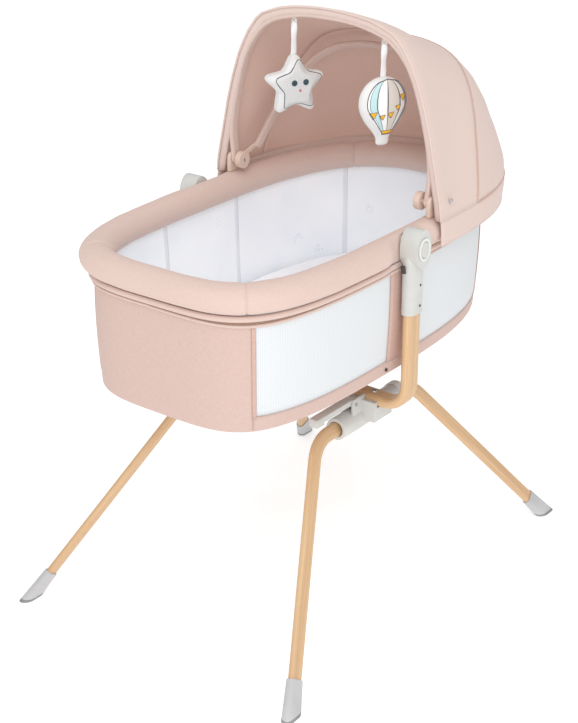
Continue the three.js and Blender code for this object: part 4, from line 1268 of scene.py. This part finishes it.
def piping(name: str, path: Sequence[Vector], radius: float, sides: int = 10) -> bpy.types.Object:
    """Makes a thin round cord of cloth along a path, with rounded ends."""
    rows, up = [], Vector((0, 0, 1))
    for i, point in enumerate(path):
        way = (path[min(i + 1, len(path) - 1)] - path[max(i - 1, 0)]).normalized()
        across = way.cross(up)
        across = (across if across.length > 0.05 else way.cross(Vector((1, 0, 0)))).normalized()
        other = across.cross(way)
        size = radius * (0.5 if i in (0, len(path) - 1) else 1.0)
        rows.append([point + (across * math.cos(t) + other * math.sin(t)) * size
                     for t in spread(0, 2 * math.pi, sides + 1)[:-1]])
    return skin(name, rows, wrap=True, capped=True)


@dataclass
class Bows:
    """The two flat bows of the hood in their cloth sleeves, and the joints that they turn on."""

    front: tuple[tuple[float, float], ...] = ((1, 0), (1.024, 52), (0.981, 116), (0.854, 206), (0.642, 264),
                                              (0.33, 287), (0, 292))
    middle: tuple[tuple[float, float], ...] = ((1, 40), (0.981, 57), (0.937, 110), (0.874, 150), (0.773, 210),
                                               (0.58, 252), (0.319, 270), (0, 274))
    lean: float = math.radians(56.0)
    foot: tuple[float, float] = (34 * MM, -23 * MM)
    sleeve_wide: float = 19 * MM
    sleeve_thick: float = 9 * MM

    def __post_init__(self) -> None:
        """Takes the axis and the half widths from the frame."""
        self.axis = centre("near_hood_knob")
        clip_inner = abs(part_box("near_hood_clip")[0].y) - 8 * MM
        self.front_half, self.middle_half = clip_inner - 4 * MM, clip_inner - 9 * MM

    def arch(self, outline: Sequence[tuple[float, float]], half: float, lean: float,
             foot: Vector) -> list[Vector]:
        """Returns a bow's centre line from its half outline, in a plane that leans back from its foot."""
        up = Vector((math.cos(lean), 0, math.sin(lean)))
        near = [foot + up * reach * MM + Vector((0, -share * half, 0)) for share, reach in outline]
        far = [Vector((p.x, -p.y, p.z)) for p in reversed(near[:-1])]
        return catmull([*near, *far], 7)

    def build(self) -> None:
        """Makes both sleeves and the parts that show at the joints."""
        front = self.arch(self.front, self.front_half, math.pi / 2, self.axis * 1.0 - Vector((0, self.axis.y, 0)))
        section = flat_oval(self.sleeve_thick, self.sleeve_wide)
        sleeve = skin("front_bow_sleeve", sweep_rows(front, Vector((1, 0, 0)), section), wrap=True, capped=True)
        dress(sleeve, "hood_front", SOFT_CLOTH, "pink_cloth", "hood_front_bow")
        start = Vector((self.axis.x + self.foot[0], 0, self.axis.z + self.foot[1]))
        middle = self.arch(self.middle, self.middle_half, self.lean, start)
        side = Vector((math.sin(self.lean), 0, -math.cos(self.lean)))
        sleeve = skin("middle_bow_sleeve", sweep_rows(middle, side, section), wrap=True, capped=True)
        dress(sleeve, "hood_mid", SOFT_CLOTH, "pink_cloth", "hood_mid_bow")
        for name, way in SIDES:
            self.joint(name, way, middle[0] if way < 0 else middle[-1])

    def joint(self, name: str, side: int, foot: Vector) -> None:
        """Makes one bow joint: the front bow's eye, and the arm that carries the middle bow."""
        y = side * (self.front_half - 2.3 * MM)
        eye = lathe(f"{name}_front_bow_eye", [(5.4 * MM, 0), (9.6 * MM, 0), (10 * MM, 0.5 * MM), (10 * MM, 4.5 * MM),
                                             (9.6 * MM, 5 * MM), (5.4 * MM, 5 * MM), (5.4 * MM, 0)],
                    Vector((self.axis.x, y, self.axis.z)), Vector((0, side, 0)), 32)
        dress(eye, "hood_front", CREAM_PLASTIC, "cream_plastic")
        y = side * (self.front_half - 5.3 * MM)
        ends = [Vector((self.axis.x, y, self.axis.z)), Vector((foot.x, y, foot.z)) + Vector((5, 0, 7)) * MM]
        arm = skin(f"{name}_middle_bow_arm", sweep_rows(straight(*ends, 8 * MM), Vector((0, 1, 0)),
                                                       flat_oval(10 * MM, 4.6 * MM, 5)), wrap=True, capped=True)
        dress(arm, "hood_mid", CREAM_PLASTIC, "cream_plastic")


# ---------------------------------------------------------------- the toys


@dataclass
class Toy:
    """What both hanging toys share: a ribbon, and a plush body that faces the basket's near side."""

    name: str
    turn: float = math.radians(-30.0)

    def place(self) -> Matrix:
        """Returns where the toy hangs: its top, turned to its side."""
        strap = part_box(f"{self.name}_strap")
        top = Vector(((strap[0].x + strap[1].x) / 2, (strap[0].y + strap[1].y) / 2, strap[0].z))
        return Matrix.Translation(top) @ Matrix.Rotation(self.turn, 4, "Z")

    def ribbon(self) -> None:
        """Makes the ribbon, slightly curled, with a stitch near its top."""
        low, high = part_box(f"{self.name}_strap")
        middle = (low + high) / 2
        half = (high.y - low.y) / 2
        rows = []
        for share in spread(0.0, 1.0, 26):
            z = mix(low.z - 3 * MM, high.z + 1 * MM, share)
            twist = self.turn * (1 - smooth_step(0.0, 0.75, share)) + math.pi / 2
            sway = 1.2 * MM * math.sin(math.pi * share)
            across = Vector((math.cos(twist - math.pi / 2), math.sin(twist - math.pi / 2), 0))
            across = across.lerp(Vector((0, -1, 0)), smooth_step(0.3, 1.0, share)).normalized()
            cup = Vector((-across.y, across.x, 0))
            rows.append([Vector((middle.x + sway, middle.y, z)) + across * half * s + cup * 0.5 * MM * s * s
                         for s in spread(-1.0, 1.0, 7)])
        piece = thicken(skin(f"{self.name}_ribbon", rows, inside=middle + Vector((1, 0, 0))), 0.7 * MM)
        dress(piece, self.name, RIBBON, "white_cloth", f"{self.name}_strap")
        self.stitch(rows[-3])

    def stitch(self, row: Sequence[Vector]) -> None:
        """Makes the small crossed stitch at the ribbon's top."""
        a, b = row[0], row[-1]
        for i, (down, up) in enumerate(((-4, 4), (4, -4))):
            line = straight(a + Vector((-0.8, 0, down)) * MM, b + Vector((-0.8, 0, up)) * MM, 3 * MM)
            dress(piping(f"{self.name}_stitch_{i}", line, 0.55 * MM, 6), self.name, BINDING, "pink_cloth")

    def mark(self, piece: bpy.types.Object, attribute: str, measure: Callable[[Vector], float]) -> None:
        """Writes a value on every point of the piece, measured before the piece is hung."""
        made = piece.data.attributes.new(attribute, "FLOAT", "POINT")
        made.data.foreach_set("value", [measure(v.co) for v in piece.data.vertices])

    def hang(self, piece: bpy.types.Object) -> None:
        """Puts a piece that was made at the origin in its place under the ribbon."""
        piece.data.transform(self.place())
        piece.data.update()


@dataclass
class StarToy(Toy):
    """A five-pointed plush star with a printed outline and a plain stitched face."""

    name: str = "star"
    radius: float = 57 * MM
    waist: float = 0.6
    prism: float = 17 * MM
    voxel: float = 2.6 * MM
    cap: float = 9 * MM
    marks: tuple[tuple[str, float, float, float, Finish], ...] = (
        ("left_eye", -6, 7, 5.4, DARK_THREAD), ("right_eye", 16, 7, 5.4, DARK_THREAD),
        ("nose", 5, -7, 2.6, ROSE_THREAD))

    def outline(self, radius: float, rounding: float = 0.34) -> list[Vector]:
        """Returns the star's outline about its middle, with blunt tips."""
        corners = []
        for i in range(10):
            reach = radius * (1 if i % 2 == 0 else self.waist)
            angle = math.pi / 2 + i * math.pi / 5
            corners.append(Vector((reach * math.cos(angle), reach * math.sin(angle))))
        points = []
        for i, corner in enumerate(corners):
            before, after = corners[i - 1], corners[(i + 1) % 10]
            size = rounding if i % 2 == 0 else 0.16
            for t in spread(0.0, 1.0, 5):
                a, b = corner.lerp(before, size), corner.lerp(after, size)
                points.append(a.lerp(corner, t).lerp(corner.lerp(b, t), t))
        return points

    def build(self) -> None:
        """Makes the body, the print and the face."""
        bm = bmesh.new()
        flat = [bm.verts.new((p.x, self.prism / 2, p.y - self.radius)) for p in self.outline(self.radius * 1.13)]
        face = bm.faces.new(flat)
        made = bmesh.ops.extrude_face_region(bm, geom=[face])["geom"]
        verts = [v for v in made if isinstance(v, bmesh.types.BMVert)]
        bmesh.ops.translate(bm, vec=(0, -self.prism, 0), verts=verts)
        bmesh.ops.recalc_face_normals(bm, faces=bm.faces)
        body = object_of("star_plush", bm)
        stuff(body, self.voxel, self.cap, pressure=6.0)
        shift, drawn = 5 * MM, self.outline(self.radius * 0.9)
        self.mark(body, "print_edge", lambda co: self.edge(co, shift, drawn))
        marks = [(*mark, self.front_at(body, mark[1] * MM, mark[2] * MM - self.radius)) for mark in self.marks]
        self.hang(body)
        rounded(body)
        dress(body, "star", STAR_PLUSH, "white_cloth", "star_toy")
        self.face(marks)
        self.ribbon()

    def front_at(self, body: bpy.types.Object, x: float, z: float) -> float:
        """Returns how far forward the plush stands at a place on its face."""
        near = [v.co.y for v in body.data.vertices if math.hypot(v.co.x - x, v.co.z - z) < 3.5 * MM and v.co.y < 0]
        return sum(near) / len(near) if near else -self.prism / 2

    def edge(self, co: Vector, shift: float, drawn: Sequence[Vector]) -> float:
        """Returns the distance in mm from the printed outline, or a large one on the back."""
        if co.y > 3 * MM:
            return 50.0
        return edge_distance(drawn, co.x - shift, co.z + self.radius) / MM

    def face(self, marks: Iterable[tuple[str, float, float, float, Finish, float]]) -> None:
        """Makes two plain eyes and a small nose, each set into the plush where it stands."""
        for name, x, z, size, finish, front in marks:
            r = size * MM
            dot = lathe(f"star_{name}", [(0, 1.3 * MM), (r * 0.6, 1.1 * MM), (r, 0.4 * MM), (r, -5 * MM), (0, -5 * MM)],
                        Vector((x * MM, front - 0.2 * MM, z * MM - self.radius)), Vector((0, -1, 0)), 24)
            self.hang(dot)
            dress(dot, "star", finish, "white_cloth")


@dataclass
class BalloonToy(Toy):
    """A drop-shaped plush with a striped balloon printed on its face."""

    name: str = "balloon"
    half: float = 45 * MM
    tall: float = 121 * MM
    thick: float = 0.39
    print_x: float = 5.5 * MM
    print_top: float = 3.5 * MM
    print_half: float = 40 * MM
    print_tall: float = 96 * MM
    neck_band: tuple[tuple[float, float], ...] = ((-4, -100.5), (15, -100.5), (15.5, -93), (-4.5, -93))

    def width_at(self, down: float, scale: float = 1.0) -> float:
        """Returns the drop's half width at a distance below its top."""
        r = self.half * scale
        if down < r * 1.55:
            return math.sqrt(max(0.0, r * r - (down - r) ** 2))
        start = math.sqrt(r * r - (0.55 * r) ** 2)
        share = (down - r * 1.55) / (self.tall * scale - r * 1.55)
        neck = 0.27 * r
        if share > 1:
            return 0.0
        fall = mix(start, neck, smooth_step(0.0, 0.75, share) * 0.5 + min(1.0, share / 0.75) * 0.5)
        return fall * math.sqrt(max(0.0, 1 - max(0.0, (share - 0.9) / 0.1) ** 2))

    def build(self) -> None:
        """Makes the body with its print, the printed bands and the ribbon."""
        rows = []
        for turn in spread(0.004, math.pi - 0.004, 76):
            down = self.tall * (1 - math.cos(turn)) / 2
            w = max(0.2 * MM, self.width_at(down))
            rows.append([Vector((w * math.cos(t), w * self.thick * math.sin(t) * (1.15 - 0.15 * abs(math.sin(t))),
                                 -down)) for t in spread(0, 2 * math.pi, 97)[:-1]])
        body = skin("balloon_plush", rows, wrap=True, capped=True)
        drawn = self.printed_outline()
        self.mark(body, "print_edge", lambda co: 50.0 if co.y > 0 else edge_distance(drawn, co.x, co.z) / MM)
        self.mark(body, "gore", self.gore)
        flags = self.pennants()
        self.mark(body, "pennant", lambda co: min(edge_distance(f, co.x, co.z) for f in flags) / MM)
        self.hang(body)
        dress(body, "balloon", BALLOON_PLUSH, "white_cloth", "balloon_toy")
        self.ribbon()

    def printed_outline(self) -> list[Vector]:
        """Returns the printed balloon's outline, set a little to one side as the print is."""
        downs = spread(0.0, self.print_tall, 24)
        right = [Vector((self.print_x + self.print_width(d), -d - self.print_top)) for d in downs]
        left = [Vector((self.print_x - self.print_width(d), -d - self.print_top)) for d in reversed(downs[1:])]
        return [*right, *left]

    def print_width(self, down: float) -> float:
        """Returns the printed balloon's half width at a distance below its own top."""
        r = self.print_half
        if down < r * 1.25:
            return math.sqrt(max(0.0, r * r - (down - r) ** 2))
        share = (down - r * 1.25) / (self.print_tall - r * 1.25)
        return mix(r * 0.968, 8 * MM, min(1.0, share))

    def gore(self, co: Vector) -> float:
        """Returns where a point lies across the print, from 0 at its left edge to 1 at its right."""
        wide = max(1 * MM, self.print_width(max(0.0, -co.z - self.print_top)))
        across = max(-1.0, min(1.0, (co.x - self.print_x) / wide))
        return 0.5 + math.asin(across) / math.pi

    def pennants(self) -> list[list[Vector]]:
        """Returns small triangles hung on a line that rises to the right."""
        flags = []
        for x, z, size in ((-24, -64, 7.5), (-7, -68, 5.6), (8, -65, 6.4), (22, -53, 6.0), (32, -36, 7.0)):
            a, r = Vector((x, z)) * MM, size * MM
            flags.append([a + Vector((-r, r * 0.7)), a + Vector((r, r * 0.9)), a + Vector((r * 0.15, -r))])
        flags.append([Vector(p) * MM for p in self.neck_band])
        return flags


# ---------------------------------------------------------------- the stand


@dataclass
class Stand:
    """Legs, rocking frame and the moulded parts of the stand."""

    leg_wide: float = 27 * MM
    leg_thick: float = 13 * MM
    leg_bend: float = 70 * MM
    corner_x: float = 148 * MM  # where the straight of a leg would meet the folding axis
    foot_x: float = 428 * MM
    foot_y: float = 303 * MM
    bar_wide: float = 38 * MM
    bar_thick: float = 20 * MM
    bar_bend: float = 45 * MM
    sole: float = 26 * MM

    def legs(self) -> None:
        """Makes the two bent leg tubes."""
        for name, side in SIDES:
            axis = Vector((PLAN.post_x, centre(f"{name}_fold_release").y, centre(f"{name}_fold_release").z))
            fall = Vector((0, side * self.foot_y - axis.y, -axis.z))
            tip, corner = Vector((self.foot_x, 0, 0)) + fall, Vector((self.corner_x, 0, 0))
            stop = tip - (tip - corner).normalized() * self.sole
            flip = lambda p: Vector((-p.x, p.y, p.z))
            corners = [axis + p for p in (flip(stop), flip(corner), corner, stop)]
            side_way = Vector((1, 0, 0)).cross(fall).normalized()
            rows = sweep_rows(bent_path(corners, self.leg_bend), side_way, flat_oval(self.leg_wide, self.leg_thick))
            tube = skin(f"{name}_leg", rows, wrap=True, capped=True)
            dress(tube, f"{name}_legs", BEECH, "wood_look_tube", f"{name}_leg_tube")

    def rocker(self) -> None:
        """Makes the rocking frame's tube."""
        low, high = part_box("rocking_frame_tube")
        x, y, bar = PLAN.post_x, high.y - self.bar_thick / 2, low.z + self.bar_thick / 2
        corners = [Vector((x, -y, high.z)), Vector((x, -y, bar)), Vector((x, y, bar)), Vector((x, y, high.z))]
        rows = sweep_rows(bent_path(corners, self.bar_bend), Vector((1, 0, 0)),
                          flat_oval(self.bar_thick, self.bar_wide))
        tube = skin("rocking_frame", rows, wrap=True, capped=True)
        dress(tube, "stand", BEECH, "wood_look_tube", "rocking_frame_tube")

    def mouldings(self) -> None:
        """Rounds the edges of the moulded parts and gives each its finish."""
        parts = [("swing_lock_lever", "lock_lever", GREY_PLASTIC, "grey_plastic", 1.4)]
        for name, _ in SIDES:
            parts += [(f"{name}_hub", "stand", GREY_PLASTIC, "grey_plastic", 1.2),
                      (f"{name}_fold_release", f"{name}_release", PALE_PLASTIC, "pale_plastic", 1.4),
                      (f"{name}_pivot_head", "stand", GREY_PLASTIC, "grey_plastic", 1.6),
                      (f"{name}_head_ring", "stand", PALE_PLASTIC, "pale_plastic", 0.7),
                      (f"{name}_release_button", f"{name}_button", GREY_PLASTIC, "grey_plastic", 1.2),
                      (f"{name}_hood_clip", "basket", CREAM_PLASTIC, "cream_plastic", 1.0),
                      (f"{name}_hood_knob", "basket", CREAM_PLASTIC, "cream_plastic", 1.6)]
            parts += [(f"{name}_{end}_foot_cap", f"{name}_legs", CAP_PLASTIC, "grey_plastic", 0.9) for end, _ in ENDS]
        for node, body, finish, slot, radius in parts:
            dress(softened(node, radius * MM), body, finish, slot, node)

    def fittings(self) -> None:
        """Gives the frame nodes that stay in sight their finishes, and adds the small trim."""
        for name, side in SIDES:
            for node in ("inner_saddle_screw", "outer_saddle_screw", "swing_axle"):
                show_node(f"{name}_{node}", STEEL)
            show_node(f"{name}_hanger_bracket", GREY_PLASTIC)
            for end, _ in ENDS:
                show_node(f"{name}_{end}_foot_sole", RUBBER)
                show_node(f"{name}_{end}_stud", DARK_PLASTIC_AND_SLOT_SHADE)
            self.knob_slot_shade(name, side)
            self.hub_ring(name)
            self.head_catch(name, side)
        for node, finish in (("lever_pin", STEEL), ("rim_tube", STEEL), ("base_board", BOARD)):
            show_node(node, finish)

    def knob_slot_shade(self, name: str, side: int) -> None:
        """Makes a thin dark bar on a hood knob's face, as painted shade for the slot, which is not cut."""
        low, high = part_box(f"{name}_hood_knob")
        face = low.y if side > 0 else high.y
        middle = Vector((centre(f"{name}_hood_knob").x, face - side * 0.1 * MM, centre(f"{name}_hood_knob").z))
        ends = [middle + Vector((0, 0, -3.4 * MM)), middle + Vector((0, 0, 3.4 * MM))]
        # Painted shade: a dark bar stands where the slot's recess would show its shadow.
        slot = skin(f"{name}_knob_slot_shade", sweep_rows(straight(*ends, 1.5 * MM), Vector((0, 1, 0)),
                                                   flat_oval(1.8 * MM, 0.9 * MM, 4)), wrap=True, capped=True)
        dress(slot, "basket", DARK_PLASTIC_AND_SLOT_SHADE, "cream_plastic")

    def hub_ring(self, name: str) -> None:
        """Makes the raised ring at the foot end of a hub."""
        low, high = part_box(f"{name}_fold_release")
        middle = (low + high) / 2
        radius = (high.z - low.z) / 2 - 2 * MM
        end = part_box(f"{name}_hub")[0].x
        profile = [(radius - 5 * MM, 0), (radius - 0.8 * MM, 0), (radius, 0.8 * MM), (radius, 5 * MM),
                   (radius - 0.8 * MM, 5.8 * MM), (radius - 5 * MM, 5.8 * MM), (radius - 5 * MM, 0)]
        ring = lathe(f"{name}_hub_ring", profile, Vector((end - 0.5 * MM, middle.y, middle.z)), Vector((1, 0, 0)), 48)
        dress(ring, "stand", GREY_PLASTIC, "grey_plastic")

    def head_catch(self, name: str, side: int) -> None:
        """Makes the small dark catch at the foot of a pivot head, and the two screws in its sleeve."""
        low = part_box(f"{name}_pivot_head")[0]
        x, face = PLAN.post_x, side * 253.2 * MM
        at = Vector((low.x + 1 * MM, side * 236 * MM, low.z + 78 * MM))
        catch = skin(f"{name}_head_catch", sweep_rows(straight(at, at + Vector((-4, 0, 13)) * MM, 3 * MM),
                                                     Vector((0, 1, 0)), flat_oval(4 * MM, 9 * MM, 4)),
                     wrap=True, capped=True)
        dress(catch, "stand", DARK_PLASTIC_AND_SLOT_SHADE, "grey_plastic")
        for i, up in enumerate((14, 52)):
            profile = [(r * MM, h * MM) for r, h in ((0, 0.3), (1.2, 0.3), (1.5, 0.7), (2.3, 0.5), (2.4, -1))]
            screw = lathe(f"{name}_sleeve_screw_{i}", profile, Vector((x + 5 * MM, face, low.z + up * MM)),
                          Vector((0, side, 0)), 20)
            dress(screw, "stand", DARK_PLASTIC_AND_SLOT_SHADE, "grey_plastic")

    def build(self) -> None:
        """Makes the whole stand."""
        self.legs()
        self.rocker()
        self.mouldings()
        self.fittings()


# ---------------------------------------------------------------- floor, light and camera


@dataclass(frozen=True)
class Studio:
    """A pale floor, soft light from above and the left, and the camera."""

    camera_at: tuple[float, float, float] = (-2.18042, -1.61697, 1.63693)
    heading: float = math.radians(37.0)
    pitch: float = math.radians(24.56)
    focal_px: float = 1611.35
    frame_px: float = 723.0
    shift: tuple[float, float] = (-0.0024, 0.0070)
    sky: float = 0.68

    def camera(self) -> None:
        """Makes the camera."""
        data = bpy.data.cameras.new("camera")
        data.sensor_width = 36.0
        data.lens = self.focal_px * data.sensor_width / self.frame_px
        data.shift_x, data.shift_y = self.shift
        data.clip_start, data.clip_end = 0.05, 60.0
        camera = bpy.data.objects.new("camera", data)
        bpy.context.scene.collection.objects.link(camera)
        camera.location = self.camera_at
        flat = math.cos(self.pitch)
        way = Vector((math.cos(self.heading) * flat, math.sin(self.heading) * flat, -math.sin(self.pitch)))
        camera.rotation_mode = "QUATERNION"
        camera.rotation_quaternion = way.to_track_quat("-Z", "Y")
        bpy.context.scene.camera = camera

    def lamp(self, name: str, place: Vector, power: float, size: float) -> None:
        """Adds a large soft light that looks at the basket."""
        data = bpy.data.lights.new(name, "AREA")
        data.energy, data.size = power, size
        lamp = bpy.data.objects.new(name, data)
        bpy.context.scene.collection.objects.link(lamp)
        lamp.location = place
        lamp.rotation_mode = "QUATERNION"
        lamp.rotation_quaternion = (Vector((0, 0, 0.6)) - place).to_track_quat("-Z", "Y")

    def floor(self) -> None:
        """Makes the floor."""
        bm = bmesh.new()
        bmesh.ops.create_grid(bm, x_segments=1, y_segments=1, size=14.0)
        bmesh.ops.translate(bm, vec=(0, 0, -0.0004), verts=bm.verts)
        floor = object_of("studio_floor", bm)
        floor.data.materials.append(Cotton("studio_paper", "#FFFFFF", "#FCFCFC", 0.95, grain_mm=40.0, painted_glow=0.34).make())

    def build(self) -> None:
        """Makes the studio."""
        self.camera()
        self.floor()
        self.lamp("key", Vector((-2.7, -2.2, 2.7)), 60, 2.6)
        self.lamp("top", Vector((-0.9, -0.4, 3.6)), 20, 2.6)
        world = bpy.data.worlds.new("studio")
        world.use_nodes = True
        tree = world.node_tree
        ground = tree.nodes["Background"]
        ground.inputs["Color"].default_value = colour("#FFFFFF")
        seen = add_node(tree, "LightPath").outputs["Is Camera Ray"]
        level = add_node(tree, "MapRange", {"Value": seen}, {"To Min": self.sky, "To Max": 1.0})
        tree.links.new(level.outputs[0], ground.inputs["Strength"])
        bpy.context.scene.world = world
        bpy.context.scene.view_settings.view_transform = "Standard"


def main() -> None:
    """Builds every sub-assembly in order and reports each one."""
    logging.basicConfig(level=logging.INFO, format="%(name)s: %(message)s")
    Studio().build()
    for part in (Mattress(), StarToy(), BalloonToy(), Rim(), Walls(), Lining(), Hood(), Bows(), Stand()):
        part.build()
        log.info("built %s", type(part).__name__)


if __name__ == "__main__":
    main()
